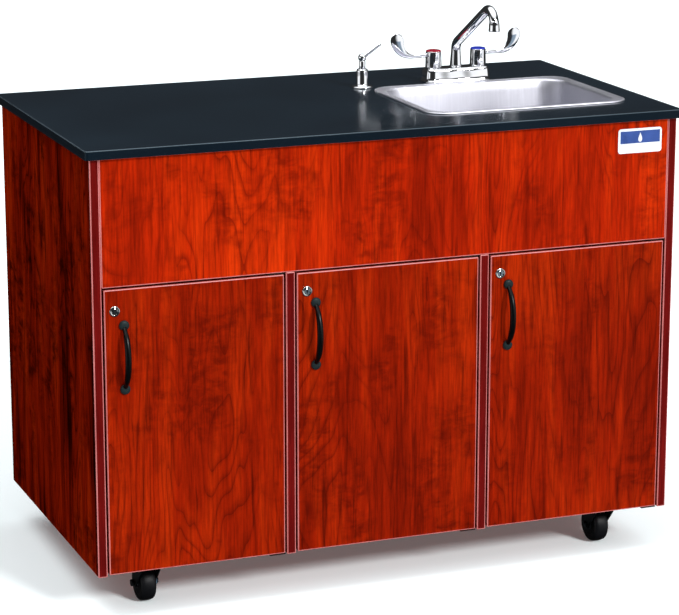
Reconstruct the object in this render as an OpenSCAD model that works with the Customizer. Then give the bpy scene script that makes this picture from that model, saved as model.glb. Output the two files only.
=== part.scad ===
// Portable handwash sink: a three-door cabinet on casters with an inset
// stainless bowl, a two-handle faucet, a soap pump and its own water system.
// Millimetres. X runs left to right, Y from front to back, Z up from the floor.

/* [Cabinet] */
// Width over the two side panels
cab_w = 1250; // [1230:5:1300]
// Depth from the front faces to the back of the back panel
cab_d = 670; // [660:5:700]
// Height of the side panels
cab_h = 838; // [830:2:860]
// Thickness of the cabinet boards
board_t = 19; // [18:0.5:19.5]
// Thickness of the back panel
back_t = 12; // [9:1:15]
// Clear width of the left opening
bay_left = 376; // [360:2:380]
// Clear width of the middle opening
bay_middle = 399; // [390:1:405]
// Height of the apron over the doors
apron_h = 253; // [240:1:260]

/* [Worktop] */
// Thickness of the worktop
top_t = 18; // [16:1:20]
// Overhang of the worktop all round
top_over = 10; // [8:1:14]
// Radius of the worktop corners
top_corner_r = 7; // [4:1:10]

/* [Doors] */
// Gap between a door and the boards beside it
door_side_gap = 4; // [3.5:0.5:5]
// Gap under the apron
door_top_gap = 4; // [3.5:0.5:5]
// Height of the door bottom over the cabinet bottom
door_bottom_gap = 3; // [2.5:0.5:4]
// How far the doors open
door_open_deg = 105; // [80:5:105]
// Radius of the hinge pins
pivot_pin_r = 3; // [2.5:0.5:3.5]
// Hinge pin axis in from the door's right edge
pivot_in = 6; // [6:0.5:7]
// Hinge pin axis behind the door's front face
pivot_back = 5; // [5:0.5:5.5]

/* [Pulls and locks] */
// Distance between the two feet of a pull
pull_span = 128; // [96:4:160]
// How far a pull stands out from the door
pull_out = 32; // [28:1:36]
// Radius of the pull's bar
pull_bar_r = 4.8; // [4:0.2:6]
// Pull axis in from the door's left edge
pull_in = 39; // [34:1:44]
// Lock axis in from the door's left edge
lock_in = 21; // [20:0.5:24]
// Radius of the lock's face
lock_face_r = 10.5; // [10:0.5:12]
// Radius of the turning lock plug
lock_plug_r = 6; // [5:0.5:6.5]
// Reach of the lock's cam from its axis
cam_reach = 54; // [53:1:58]

/* [Sink] */
// Outside width of the sink rim
sink_w = 453; // [440:1:460]
// Outside depth of the sink rim
sink_d = 344; // [330:1:350]
// Width of the rim around the bowl
sink_rim = 22; // [20:1:24]
// Depth of the bowl under the worktop face
bowl_depth = 172; // [150:2:180]
// Sheet thickness of the bowl
bowl_t = 2; // [1.5:0.5:2.5]
// Sink centre right of the cabinet's middle
sink_x = 350; // [340:1:355]
// Sink centre behind the cabinet's front
sink_y = 280; // [278:1:284]

/* [Faucet] */
// Faucet centre right of the cabinet's middle
faucet_x = 342; // [336:1:350]
// Faucet centre behind the cabinet's front
faucet_y = 489; // [487:1:495]
// Length of the faucet's base
faucet_w = 154; // [150:1:160]
// Depth of the faucet's base
faucet_d = 56; // [52:1:58]
// Height of the faucet's base
faucet_h = 30; // [28:1:32]
// Distance between the two handle axes
handle_span = 105; // [102:1:106]
// Reach of the spout from its swivel to the water stream
spout_reach = 200; // [180:5:210]
// Height of the spout's highest centre line over the worktop
spout_peak = 176; // [172:2:190]
// Radius of the spout tube
spout_r = 9; // [8:0.5:9.5]
// Rise of the spout's straight run, in degrees
spout_rise_deg = 30; // [28:1:32]
// Radius of the water outlet's bore
outlet_r = 9; // [8:0.5:9]
// Length of a handle blade from its hub axis
blade_reach = 102; // [98:1:104]

/* [Soap pump] */
// Soap pump right of the cabinet's middle
soap_x = 118; // [112:1:120]
// Soap pump behind the cabinet's front
soap_y = 475; // [465:1:480]
// Stroke of the soap pump
soap_stroke = 14; // [8:1:15]
// Lean of the soap nozzle from upright, in degrees
nozzle_lean = 56; // [50:1:65]

/* [Casters] */
// Overall height of the casters
caster_h = 90; // [90:1:94]
// Radius of the wheels
wheel_r = 38; // [36:0.5:38]
// Width of the wheels
wheel_w = 32; // [28:1:32]
// Distance from a swivel axis back to its wheel's axle
trail = 25; // [20:1:26]
// Swivel axes in from the cabinet's sides
caster_in_x = 120; // [110:5:140]
// Front swivel axes behind the cabinet's front
caster_front_y = 65; // [62:1:90]
// Rear swivel axes behind the cabinet's front
caster_rear_y = 595; // [560:5:600]

/* [Hidden] */
$fn = 48;
eps = 0.01;
run_gap = 0.05;
front_y = -(cab_d + top_over - pull_out) / 2;
back_y = front_y + cab_d;
base_z = caster_h;
top_z = base_z + cab_h;
work_z = top_z + top_t;
side_in = cab_w / 2 - board_t;
apron_z = top_z - apron_h;
board_back = front_y + board_t;
inner_front_y = board_back + 2.5;
inner_back_y = back_y - back_t;
rail_d = 80;
rail_t = board_t;
divider_top_left = cab_h - rail_t;
divider_top_right = 640;
divider_left_x = -side_in + bay_left;
divider_right_x = divider_left_x + board_t + bay_middle;
divider_left_end = divider_left_x + board_t;
divider_right_end = divider_right_x + board_t;

door_z0 = base_z + door_bottom_gap;
door_z1 = apron_z - door_top_gap;
door_left = [
    -side_in + door_side_gap,
    divider_left_end + door_side_gap,
    divider_right_end + door_side_gap
];
door_right = [
    divider_left_x - door_side_gap,
    divider_right_x - door_side_gap,
    side_in - door_side_gap
];
// The narrow left door carries its lock and pull a little lower.
lock_drop = [43, 38, 38];
pull_drop = [72, 62, 62];
pivot_depth = 15;
pull_foot_r = 10;

caster_x = [-cab_w / 2 + caster_in_x, cab_w / 2 - caster_in_x];
caster_y = [front_y + caster_front_y, front_y + caster_rear_y];
axle_r = 4;
axle_z = wheel_r;
fork_half = 18.5;
fork_leg_t = 2.5;
fork_top_z = 84;
kingpin_r = 5;

spindle_r = 7;
hub_top = 67;
stub_r = 8;
low_bend_r = 24;
high_bend_r = 28;
low_bend_deg = 90 - spout_rise_deg;
high_bend_deg = 90 + spout_rise_deg;
spout_run = (spout_reach - low_bend_r * (1 - cos(low_bend_deg))
    - high_bend_r * (1 + sin(spout_rise_deg))) / cos(spout_rise_deg);
low_bend_z = spout_peak - high_bend_r * (1 - cos(spout_rise_deg))
    - spout_run * sin(spout_rise_deg) - low_bend_r * sin(low_bend_deg);
outlet_z = work_z + 134;

heater_x0 = -60;
heater_w = 230;
heater_d = 212;
heater_z0 = base_z + 120;
heater_h = 320;
heater_y1 = inner_back_y - 1;
heater_y0 = heater_y1 - heater_d;

cherry = [0.50, 0.11, 0.04];
slate = [0.13, 0.16, 0.20];
steel = [0.76, 0.77, 0.79];
chromed = [0.84, 0.85, 0.88];
zinc = [0.66, 0.68, 0.71];
black = [0.05, 0.05, 0.06];
white = [0.92, 0.93, 0.95];

// ---------------------------------------------------------------- helpers

// A point given from the cabinet's middle, front face and bottom.
function inside(x, y, z) = [x, front_y + y, base_z + z];

function arc_points(cx, cy, rx, ry, a0, a1, steps) = [
    for (i = [0 : steps])
        let (a = a0 + (a1 - a0) * i / steps)
        [cx + rx * cos(a), cy + ry * sin(a)]
];

function rounded_rect(w, d, r, steps = 8) = concat(
    arc_points(w / 2 - r, d / 2 - r, r, r, 0, 90, steps),
    arc_points(r - w / 2, d / 2 - r, r, r, 90, 180, steps),
    arc_points(r - w / 2, r - d / 2, r, r, 180, 270, steps),
    arc_points(w / 2 - r, r - d / 2, r, r, 270, 360, steps)
);

module board(x0, x1, y0, y1, z0, z1) {
    translate([x0, y0, z0])
        cube([x1 - x0, y1 - y0, z1 - z0]);
}

// A board whose two upright front edges are eased.
module eased_board(x0, x1, y0, y1, z0, z1, ease = 1.2) {
    translate([0, 0, z0])
        linear_extrude(z1 - z0)
            polygon([
                [x0 + ease, y0], [x1 - ease, y0], [x1, y0 + ease],
                [x1, y1], [x0, y1], [x0, y0 + ease]
            ]);
}

module rounded_block(w, d, h, r, steps = 6) {
    linear_extrude(h)
        polygon(rounded_rect(w, d, r, steps));
}

// A cylinder from one point to another.
module rod_between(a, b, r) {
    v = b - a;
    length = norm(v);
    translate(a)
        rotate([0, acos(v[2] / length), atan2(v[1], v[0])])
            cylinder(r = r, h = length);
}

// A hose through a row of points, with a round elbow at each turn.
module hose(points, r) {
    for (i = [0 : len(points) - 2])
        rod_between(points[i], points[i + 1], r);
    for (i = [1 : len(points) - 2])
        translate(points[i])
            sphere(r = r + 1.2);
}

module hex_nut(r, h) {
    cylinder(r = r, h = h, $fn = 6);
}

// ---------------------------------------------------------------- cabinet

module side_panel(x0, x1) {
    color(cherry)
        eased_board(x0, x1, front_y, back_y, base_z, top_z);
}

module side_panel_left() {
    side_panel(-cab_w / 2, -side_in);
}

module side_panel_right() {
    side_panel(side_in, cab_w / 2);
}

// A divider shows its front edge between two doors and stops under the apron.
module divider(x0, height) {
    color(cherry)
        union() {
            eased_board(x0, x0 + board_t, front_y, inner_front_y, base_z, apron_z);
            board(x0, x0 + board_t, inner_front_y - eps, inner_back_y,
                base_z + board_t, base_z + height);
        }
}

module divider_left() {
    difference() {
        divider(divider_left_x, divider_top_left);
        translate(inside(divider_left_x - 1, 300, 445))
            rotate([0, 90, 0])
                cylinder(r = 10, h = board_t + 2);
    }
}

module divider_right() {
    divider(divider_right_x, divider_top_right);
}

module apron_panel() {
    color(cherry)
        board(-side_in, side_in, front_y, board_back, apron_z, top_z);
}

module bottom_panel() {
    color(cherry)
        board(-side_in, side_in, inner_front_y, inner_back_y, base_z, base_z + board_t);
}

module back_panel() {
    color(cherry)
        difference() {
            board(-side_in, side_in, inner_back_y, back_y, base_z, top_z);
            translate([vent_x, inner_back_y - 1, vent_z])
                rotate([-90, 0, 0])
                    linear_extrude(back_t + 2)
                        square([vent_w - 24, vent_h - 24], center = true);
            for (p = [[inlet_x, inlet_z], [switch_x, switch_z]])
                translate([p[0] - 23, inner_back_y - 1, p[1] - 23])
                    cube([46, back_t + 2, 46]);
        }
}

module top_rails() {
    color(cherry)
        for (y = [board_back, inner_back_y - rail_d])
            board(-side_in, side_in, y, y + rail_d, top_z - rail_t, top_z);
}

module worktop() {
    color(slate)
        difference() {
            translate([0, (front_y + back_y) / 2, top_z])
                rounded_block(cab_w + 2 * top_over, cab_d + 2 * top_over, top_t, top_corner_r);
            translate([sink_x, front_y + sink_y, top_z - 1])
                rounded_block(bowl_w + 8, bowl_d + 8, top_t + 2, bowl_r + 4);
            for (s = [-1, 1])
                translate([faucet_x + s * shank_half, front_y + faucet_y, top_z - 1])
                    cylinder(r = 14, h = top_t + 2);
            translate([soap_x, front_y + soap_y, top_z - 1])
                cylinder(r = 14, h = top_t + 2);
        }
}

module badge_plate() {
    color(white)
        translate([541, front_y, base_z + 796])
            rotate([90, 0, 0])
                rounded_block(99, 51, 1.4, 6);
}

// ---------------------------------------------------------------- sink and drain

bowl_w = sink_w - 2 * sink_rim;
bowl_d = sink_d - 2 * sink_rim;
bowl_r = 56;
drain_r = 22;

// The bowl's outside grown or shrunk by one sheet thickness.
module bowl_solid(inset, depth) {
    hull() {
        translate([0, 0, -1])
            rounded_block(bowl_w - 2 * inset, bowl_d - 2 * inset, 1, bowl_r - inset);
        translate([0, 0, -depth + 26])
            rounded_block(bowl_w - 12 - 2 * inset, bowl_d - 12 - 2 * inset, 1, bowl_r - inset);
        translate([0, 0, -depth + 8])
            rounded_block(bowl_w - 24 - 2 * inset, bowl_d - 24 - 2 * inset, 1, bowl_r - inset - 4);
        translate([0, 0, -depth])
            rounded_block(bowl_w - 56 - 2 * inset, bowl_d - 56 - 2 * inset, 1, bowl_r - inset - 14);
    }
}

module sink_bowl() {
    color(steel)
        translate([sink_x, front_y + sink_y, work_z])
            difference() {
                union() {
                    bowl_solid(0, bowl_depth);
                    rounded_block(sink_w, sink_d, 3, 44);
                    translate([0, 0, -1])
                        rounded_block(bowl_w, bowl_d, 2, bowl_r);
                }
                translate([0, 0, 0])
                    bowl_solid(bowl_t, bowl_depth - bowl_t);
                translate([0, 0, -1.5])
                    rounded_block(bowl_w - 2 * bowl_t, bowl_d - 2 * bowl_t, 6, bowl_r - bowl_t);
                translate([0, 0, -bowl_depth - 1])
                    cylinder(r = drain_r + 0.5, h = 10);
            }
}

floor_in = work_z - bowl_depth + bowl_t;

module sink_strainer() {
    color(chromed)
        translate([sink_x, front_y + sink_y, floor_in])
            difference() {
                union() {
                    cylinder(r = 40, h = 2);
                    translate([0, 0, -30])
                        cylinder(r = drain_r, h = 31);
                    translate([0, 0, -9])
                        cylinder(r = 30, h = 6.5);
                }
                translate([0, 0, -31])
                    cylinder(r = 16, h = 29);
                translate([0, 0, -1])
                    cylinder(r1 = 19, r2 = 26, h = 4);
                for (a = [0 : 60 : 300])
                    rotate([0, 0, a])
                        translate([9, 0, -4])
                            cylinder(r = 3, h = 5);
                translate([0, 0, -4])
                    cylinder(r = 3, h = 5);
            }
}

module drain_tailpiece() {
    color(chromed)
        translate([sink_x, front_y + sink_y, floor_in])
            difference() {
                union() {
                    translate([0, 0, -125])
                        cylinder(r = 16, h = 96);
                    translate([0, 0, -41])
                        hex_nut(27, 11);
                }
                translate([0, 0, -126])
                    cylinder(r = 14, h = 98);
            }
}

waste_z = base_z + board_t + 0.5;
waste_h = 370;

module drain_hose() {
    top = floor_in - 125;
    bottom = waste_z + waste_h + 6;
    rings = floor((top - bottom - 34) / 9);
    color([0.20, 0.21, 0.23])
        translate([sink_x, front_y + sink_y, 0])
            difference() {
                union() {
                    translate([0, 0, bottom])
                        cylinder(r = 17, h = top - bottom);
                    for (i = [0 : rings - 1])
                        translate([0, 0, bottom + 30 + 9 * i])
                            cylinder(r = 19, h = 5);
                    translate([0, 0, bottom + 19])
                        cylinder(r = 27, h = 8);
                }
                translate([0, 0, bottom - 1])
                    cylinder(r = 14.5, h = top - bottom + 2);
            }
}

// ---------------------------------------------------------------- faucet

shank_half = 51;

module at_faucet() {
    translate([faucet_x, front_y + faucet_y, work_z])
        children();
}

module faucet_body() {
    foot_r = 16;
    color(chromed)
        at_faucet()
            difference() {
                union() {
                    hull()
                        for (sx = [-1, 1], sy = [-1, 1])
                            translate([sx * (faucet_w / 2 - foot_r), sy * (faucet_d / 2 - foot_r), 0])
                                cylinder(r1 = foot_r, r2 = foot_r - 5, h = faucet_h, $fn = 32);
                    for (s = [-1, 1])
                        translate([s * handle_span / 2, 0, faucet_h - 1])
                            cylinder(r = spindle_r, h = 27);
                }
                translate([0, 0, faucet_h - 12])
                    cylinder(r = stub_r + run_gap, h = 14);
            }
}

module faucet_shanks() {
    color([0.78, 0.62, 0.30])
        at_faucet()
            for (s = [-1, 1])
                translate([s * shank_half, 0, 0]) {
                    translate([0, 0, -64])
                        cylinder(r = 10, h = 64);
                    translate([0, 0, -top_t - 10])
                        hex_nut(19, 10);
                    translate([0, 0, -64])
                        hex_nut(14, 20);
                }
}

// The tube rises, bends forward, climbs to its crown and turns down.
module spout() {
    bend_end_y = -low_bend_r * (1 - cos(low_bend_deg));
    bend_end_z = low_bend_z + low_bend_r * sin(low_bend_deg);
    run_end_y = bend_end_y - spout_run * cos(spout_rise_deg);
    run_end_z = bend_end_z + spout_run * sin(spout_rise_deg);
    crown_y = run_end_y - high_bend_r * sin(spout_rise_deg);
    crown_z = run_end_z - high_bend_r * cos(spout_rise_deg);
    lap_y = 2 * cos(spout_rise_deg);
    lap_z = 2 * sin(spout_rise_deg);
    color(chromed)
        at_faucet()
            difference() {
                union() {
                    translate([0, 0, faucet_h - 8])
                        cylinder(r = stub_r, h = 10);
                    translate([0, 0, faucet_h + 0.6])
                        cylinder(r1 = 13, r2 = spout_r + 0.4, h = low_bend_z - faucet_h + 1.4);
                    translate([0, -low_bend_r, low_bend_z])
                        rotate([90, 0, 90])
                            rotate_extrude(angle = low_bend_deg)
                                translate([low_bend_r, 0])
                                    circle(r = spout_r);
                    rod_between([0, bend_end_y + lap_y, bend_end_z - lap_z],
                        [0, run_end_y - lap_y, run_end_z + lap_z], spout_r - 0.25);
                    translate([0, crown_y, crown_z])
                        rotate([90, 0, 90])
                            rotate([0, 0, low_bend_deg])
                                rotate_extrude(angle = high_bend_deg)
                                    translate([high_bend_r, 0])
                                        circle(r = spout_r);
                    translate([0, -spout_reach, 134])
                        cylinder(r1 = 11.4, r2 = 10.4, h = 22);
                }
                translate([0, -spout_reach, 133])
                    cylinder(r = outlet_r, h = 13);
            }
}

// The blade seen from the front, from the hub outwards, with its paddle up.
function blade_outline(reach) =
    let (low = 54, high = 63, turn = 94, half = 16)
    concat(
        [[8, high], [8, low]],
        arc_points(reach - 44, turn, 44, turn - low, -90, 0, 10),
        arc_points(reach - half, turn, half, half, 15, 165, 10),
        arc_points(reach - 52, turn, 20, turn - high, 0, -90, 10)
    );

module handle(side) {
    color(chromed)
        at_faucet()
            translate([side * handle_span / 2, 0, 0])
                difference() {
                    union() {
                        translate([0, 0, faucet_h + 0.6])
                            cylinder(r1 = 17.5, r2 = 16.5, h = hub_top - faucet_h - 0.6);
                        rotate([0, 0, side > 0 ? 0 : 180])
                            translate([0, 4, 0])
                                rotate([90, 0, 0])
                                    linear_extrude(8)
                                        polygon(blade_outline(blade_reach));
                    }
                    translate([0, 0, faucet_h])
                        cylinder(r = spindle_r + run_gap, h = 27);
                }
}

module hot_handle() {
    handle(-1);
}

module cold_handle() {
    handle(1);
}

module index_button(side, tint) {
    color(tint)
        at_faucet()
            translate([side * handle_span / 2, 0, hub_top])
                rotate_extrude()
                    polygon(concat(
                        [[0, 0], [15, 0]],
                        arc_points(0, 0, 15, 3, 0, 75, 5),
                        [[0, 3]]
                    ));
}

module hot_index() {
    index_button(-1, [0.75, 0.06, 0.08]);
}

module cold_index() {
    index_button(1, [0.10, 0.16, 0.62]);
}

// Flexible risers from the pump and the heater to the two faucet shanks.
module supply_hoses() {
    hot_x = faucet_x - shank_half;
    cold_x = faucet_x + shank_half;
    shank_z = cab_h + top_t - 66;
    heater_port = heater_h + 141.3;
    tank_port = board_t + fresh_h + 13.8;
    color([0.60, 0.62, 0.65]) {
        hose([inside(110, 560, heater_port), inside(110, 560, 690), inside(hot_x, 560, 690),
            inside(hot_x, faucet_y, 690), inside(hot_x, faucet_y, shank_z)], 7);
        hose([inside(-110, 300, 140), inside(-110, 300, 720), inside(-110, 600, 720),
            inside(cold_x, 600, 720), inside(cold_x, faucet_y, 720),
            inside(cold_x, faucet_y, shank_z)], 7);
        hose([inside(-110, 308, 500), inside(-110, 520, 500), inside(0, 520, 500),
            inside(0, 520, heater_port)], 7);
        hose([inside(-340, 300, tank_port), inside(-340, 300, 445), inside(-150, 300, 445),
            inside(-150, 300, 140)], 7);
    }
}

// ---------------------------------------------------------------- soap pump

module at_soap() {
    translate([soap_x, front_y + soap_y, work_z])
        children();
}

module soap_collar() {
    color(chromed)
        at_soap()
            difference() {
                union() {
                    cylinder(r1 = 23.5, r2 = 22, h = 5);
                    translate([0, 0, -42])
                        cylinder(r = 12, h = 43);
                    translate([0, 0, 4])
                        cylinder(r = 12.5, h = 36);
                    translate([0, 0, -top_t - 9])
                        hex_nut(21, 9);
                }
                translate([0, 0, -6])
                    cylinder(r = 7 + run_gap, h = 60);
            }
}

module soap_bottle() {
    color([0.88, 0.90, 0.86])
        at_soap()
            difference() {
                union() {
                    translate([0, 0, -190])
                        cylinder(r = 34, h = 118);
                    translate([0, 0, -73])
                        cylinder(r1 = 34, r2 = 15, h = 14);
                    translate([0, 0, -60])
                        cylinder(r = 15, h = 18);
                }
                translate([0, 0, -187])
                    cylinder(r = 31.5, h = 112);
                translate([0, 0, -76])
                    cylinder(r = 11, h = 40);
            }
}

module soap_plunger() {
    color(chromed)
        at_soap()
            union() {
                translate([0, 0, 10])
                    cylinder(r = 7, h = 48);
                translate([0, 0, 57])
                    cylinder(r = 3, h = 8);
            }
}

module soap_nozzle() {
    color(chromed)
        at_soap()
            difference() {
                union() {
                    intersection() {
                        translate([0, 0, 64])
                            sphere(r = 9);
                        translate([-15, -15, 58.4])
                            cube([30, 30, 20]);
                    }
                    translate([0, 0, 64])
                        rotate([0, nozzle_lean, 0])
                            cylinder(r = 3.4, h = 50);
                }
                translate([0, 0, 57])
                    cylinder(r = 3 + run_gap, h = 9);
                translate([0, 0, 64])
                    rotate([0, nozzle_lean, 0])
                        translate([0, 0, 30])
                            cylinder(r = 1.8, h = 21);
            }
}

// ---------------------------------------------------------------- water system

tank_wall = 3;
fresh_h = 380;
fresh_w = 240;
fresh_d = 300;
fresh_x = -418;
fresh_y = 300;
cap_x = fresh_x - 60;

// A hollow jug with a raised neck; its foot stands at the given height.
module jug(w, d, h, neck_x, neck_y, neck_r, tint) {
    color(tint)
        difference() {
            union() {
                rounded_block(w, d, h, 30);
                translate([neck_x, neck_y, h - 1])
                    cylinder(r = neck_r, h = 25);
            }
            translate([0, 0, tank_wall])
                rounded_block(w - 2 * tank_wall, d - 2 * tank_wall, h - 2 * tank_wall, 27);
            translate([neck_x, neck_y, h - 8])
                cylinder(r = neck_r - tank_wall, h = 40);
        }
}

module fresh_tank() {
    translate(inside(fresh_x, fresh_y, board_t + 0.5)) {
        jug(fresh_w, fresh_d, fresh_h, cap_x - fresh_x, 0, 24, [0.80, 0.86, 0.90]);
        color(black)
            translate([-340 - fresh_x, 0, fresh_h - 1])
                cylinder(r = 11, h = 14);
    }
}

module fresh_cap() {
    color([0.12, 0.25, 0.55])
        translate(inside(cap_x, fresh_y, board_t + 0.5 + fresh_h + 8))
            difference() {
                union() {
                    cylinder(r = 30, h = 19);
                    for (a = [0 : 30 : 330])
                        rotate([0, 0, a])
                            translate([28, -3, 0])
                                cube([4, 6, 19]);
                }
                translate([0, 0, -1])
                    cylinder(r = 24 + run_gap, h = 17.5);
            }
}

module waste_tank() {
    tank_x = 402;
    tank_y = 290;
    translate([tank_x, front_y + tank_y, waste_z])
        jug(310, 320, waste_h, sink_x - tank_x, sink_y - tank_y, 25, [0.62, 0.64, 0.66]);
}

module water_pump() {
    color(black)
        translate(inside(-130, 300, board_t)) {
            board(-45, 45, -75, 115, 0, 5);
            board(-42, 42, -70, -8, 4, 100);
            translate([0, -9, 50])
                rotate([-90, 0, 0])
                    cylinder(r = 36, h = 118);
            for (y = [10, 80])
                board(-14, 14, y, y + 14, 4, 20);
        }
    color(zinc)
        for (x = [-150, -110])
            translate(inside(x, 300 - 20, board_t + 99))
                board(-8, 8, -8, 28, 0, 12);
}

module water_heater() {
    color(white)
        union() {
            translate([heater_x0 + heater_w / 2, (heater_y0 + heater_y1) / 2, heater_z0])
                rounded_block(heater_w, heater_d, heater_h, 18);
            translate([heater_x0 + heater_w / 2, heater_y0 + 1, heater_z0 + 70])
                rotate([90, 0, 0])
                    cylinder(r = knob_stub_r, h = 17);
            for (p = [[0, 520], [110, 560]])
                translate(inside(p[0], p[1], heater_h + 119))
                    cylinder(r = 10, h = 22);
        }
}

knob_stub_r = 4;

module heater_knob() {
    color(black)
        translate([heater_x0 + heater_w / 2, heater_y0 - 0.6, heater_z0 + 70])
            rotate([90, 0, 0])
                difference() {
                    union() {
                        cylinder(r = 20, h = 8);
                        translate([0, 0, 7])
                            cylinder(r1 = 15, r2 = 13.5, h = 14);
                        translate([-2, -14, 7])
                            cube([4, 28, 16]);
                    }
                    translate([0, 0, -1])
                        cylinder(r = knob_stub_r + run_gap, h = 18);
                }
}

// ---------------------------------------------------------------- back panel fittings

inlet_x = -150;
inlet_z = base_z + 250;
switch_x = -150;
switch_z = base_z + 400;
vent_x = 402;
vent_z = base_z + 520;
vent_w = 240;
vent_h = 120;

module power_inlet() {
    color(black)
        translate([inlet_x, 0, inlet_z])
            difference() {
                union() {
                    board(-32, 32, back_y, back_y + 3, -32, 32);
                    board(-22, 22, back_y - 48, back_y + 1, -22, 22);
                }
                board(-16, 16, back_y - 20, back_y + 4, -13, 13);
            }
    color([0.80, 0.70, 0.40])
        for (p = [[-8, -5], [8, -5], [0, 5]])
            translate([inlet_x + p[0] - 1, back_y - 21, inlet_z + p[1] - 3])
                cube([2, 16, 6]);
}

module switch_box() {
    color(black)
        translate([switch_x, 0, switch_z])
            difference() {
                union() {
                    board(-32, 32, back_y, back_y + 3, -32, 32);
                    board(-22, 22, back_y - 40, back_y + 1, -22, 22);
                }
                board(-10, 10, back_y - 16, back_y + 4, -16, 16);
            }
    color(zinc)
        translate([switch_x - 11, back_y - 3, switch_z])
            rotate([0, 90, 0])
                cylinder(r = 1.5, h = 22);
}

// The rocker stands with its lower half pressed in.
module rocker_switch() {
    tilt = 10;
    color([0.70, 0.08, 0.06])
        translate([switch_x, back_y - 3, switch_z])
            difference() {
                rotate([tilt, 0, 0])
                    translate([-9.4, 0, 0])
                        rotate([90, 0, 90])
                            linear_extrude(18.8)
                                polygon([[-4, -5], [0, -12], [5, -12], [3.5, 0], [5, 12], [0, 12], [-4, 5]]);
                translate([-12, 0, 0])
                    rotate([0, 90, 0])
                        cylinder(r = 1.5 + run_gap, h = 24);
            }
}

module rear_vent() {
    slats = 6;
    pitch = (vent_h - 34) / slats;
    color(black)
        translate([vent_x, back_y, vent_z])
            difference() {
                board(-vent_w / 2, vent_w / 2, 0, 3, -vent_h / 2, vent_h / 2);
                for (i = [0 : slats - 1])
                    board(-vent_w / 2 + 20, vent_w / 2 - 20, -1, 4,
                        -vent_h / 2 + 19 + pitch * i, -vent_h / 2 + 26 + pitch * i);
            }
}

// ---------------------------------------------------------------- doors

function pivot_x(k) = door_right[k] - pivot_in;
function lock_z(k) = door_z1 - lock_drop[k];
function pull_z(k) = door_z1 - pull_drop[k];

// Hinge brackets in the gaps below and above each door, with pins standing into its edges.
module pivot_brackets() {
    color(zinc)
        for (k = [0 : 2]) {
            x = pivot_x(k);
            board(x - 26, x + 7, front_y + 1.5, inner_front_y, base_z + 0.2, base_z + 2.2);
            board(x - 26, x - 8, inner_front_y - 1.5, inner_front_y, base_z + 0.2, base_z + board_t);
            translate([x, front_y + pivot_back, base_z + 1])
                cylinder(r = pivot_pin_r, h = 16);
            board(x - 26, x + 8, front_y + 1, board_back - 1, apron_z - 2, apron_z);
            translate([x, front_y + pivot_back, apron_z - 17])
                cylinder(r = pivot_pin_r, h = 16);
        }
}

module door_panel(k) {
    color(cherry)
        difference() {
            eased_board(door_left[k], door_right[k], front_y, board_back, door_z0, door_z1);
            for (z = [door_z0 - 1, door_z1 - pivot_depth])
                translate([pivot_x(k), front_y + pivot_back, z])
                    cylinder(r = pivot_pin_r + run_gap, h = pivot_depth + 1);
            translate([door_left[k] + lock_in, front_y - 1, lock_z(k)])
                rotate([-90, 0, 0])
                    cylinder(r = lock_plug_r + 3, h = board_t + 2);
            for (i = [0, 1])
                translate([door_left[k] + pull_in, front_y - 1, pull_z(k) - i * pull_span])
                    rotate([-90, 0, 0])
                        cylinder(r = 2.2, h = board_t + 2);
        }
}

module door_panel_1() {
    door_panel(0);
}

module door_panel_2() {
    door_panel(1);
}

module door_panel_3() {
    door_panel(2);
}

// An arched bar on two round feet, held by screws from inside the door.
module door_pull(k) {
    rise = pull_out - pull_bar_r;
    arc_r = (pow(pull_span / 2, 2) + rise * rise) / (2 * rise);
    half_angle = asin(pull_span / 2 / arc_r) + 3;
    color(black)
        translate([door_left[k] + pull_in, front_y, pull_z(k) - pull_span / 2]) {
            intersection() {
                translate([0, arc_r - rise, 0])
                    rotate([0, -90, 0])
                        rotate([0, 0, 270 - half_angle])
                            rotate_extrude(angle = 2 * half_angle)
                                translate([arc_r, 0])
                                    circle(r = pull_bar_r);
                translate([-20, -60, -pull_span])
                    cube([40, 60, 2 * pull_span]);
            }
            for (s = [-1, 1])
                translate([0, 0, s * pull_span / 2])
                    rotate([90, 0, 0])
                        cylinder(r1 = pull_foot_r, r2 = pull_foot_r - 1.5, h = 4);
        }
    color(zinc)
        for (s = [0, 1])
            translate([door_left[k] + pull_in, board_back, pull_z(k) - s * pull_span])
                rotate([-90, 0, 0]) {
                    translate([0, 0, -board_t])
                        cylinder(r = 2, h = board_t);
                    cylinder(r1 = 4.5, r2 = 3.5, h = 2);
                }
}

module door_pull_1() {
    door_pull(0);
}

module door_pull_2() {
    door_pull(1);
}

module door_pull_3() {
    door_pull(2);
}

// The lock's fixed barrel, with a face flange in front and a nut behind.
module door_lock(k) {
    color(chromed)
        translate([door_left[k] + lock_in, front_y, lock_z(k)])
            rotate([90, 0, 0])
                difference() {
                    union() {
                        cylinder(r1 = lock_face_r, r2 = lock_face_r - 1, h = 2.4);
                        translate([0, 0, -board_t - 2])
                            cylinder(r = lock_plug_r + 3, h = board_t + 3);
                        translate([0, 0, -board_t - 2])
                            hex_nut(12, 2);
                    }
                    translate([0, 0, -board_t - 3])
                        cylinder(r = lock_plug_r + run_gap, h = board_t + 7);
                }
}

module door_lock_1() {
    door_lock(0);
}

module door_lock_2() {
    door_lock(1);
}

module door_lock_3() {
    door_lock(2);
}

// The turning plug with its key slot, and the cam on its inner end.
module lock_core(k) {
    cam_t = 2.2;
    color(chromed)
        translate([door_left[k] + lock_in, front_y, lock_z(k)])
            rotate([90, 0, 0])
                difference() {
                    union() {
                        translate([0, 0, -board_t - 2.5 - cam_t])
                            cylinder(r = lock_plug_r, h = board_t + 4.4 + cam_t);
                        translate([0, -6, -board_t - 2.5 - cam_t])
                            cube([cam_reach, 12, cam_t]);
                    }
                    translate([-1, -4, -4])
                        cube([2, 8, 7]);
                }
}

module lock_core_1() {
    lock_core(0);
}

module lock_core_2() {
    lock_core(1);
}

module lock_core_3() {
    lock_core(2);
}

// ---------------------------------------------------------------- casters

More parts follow.
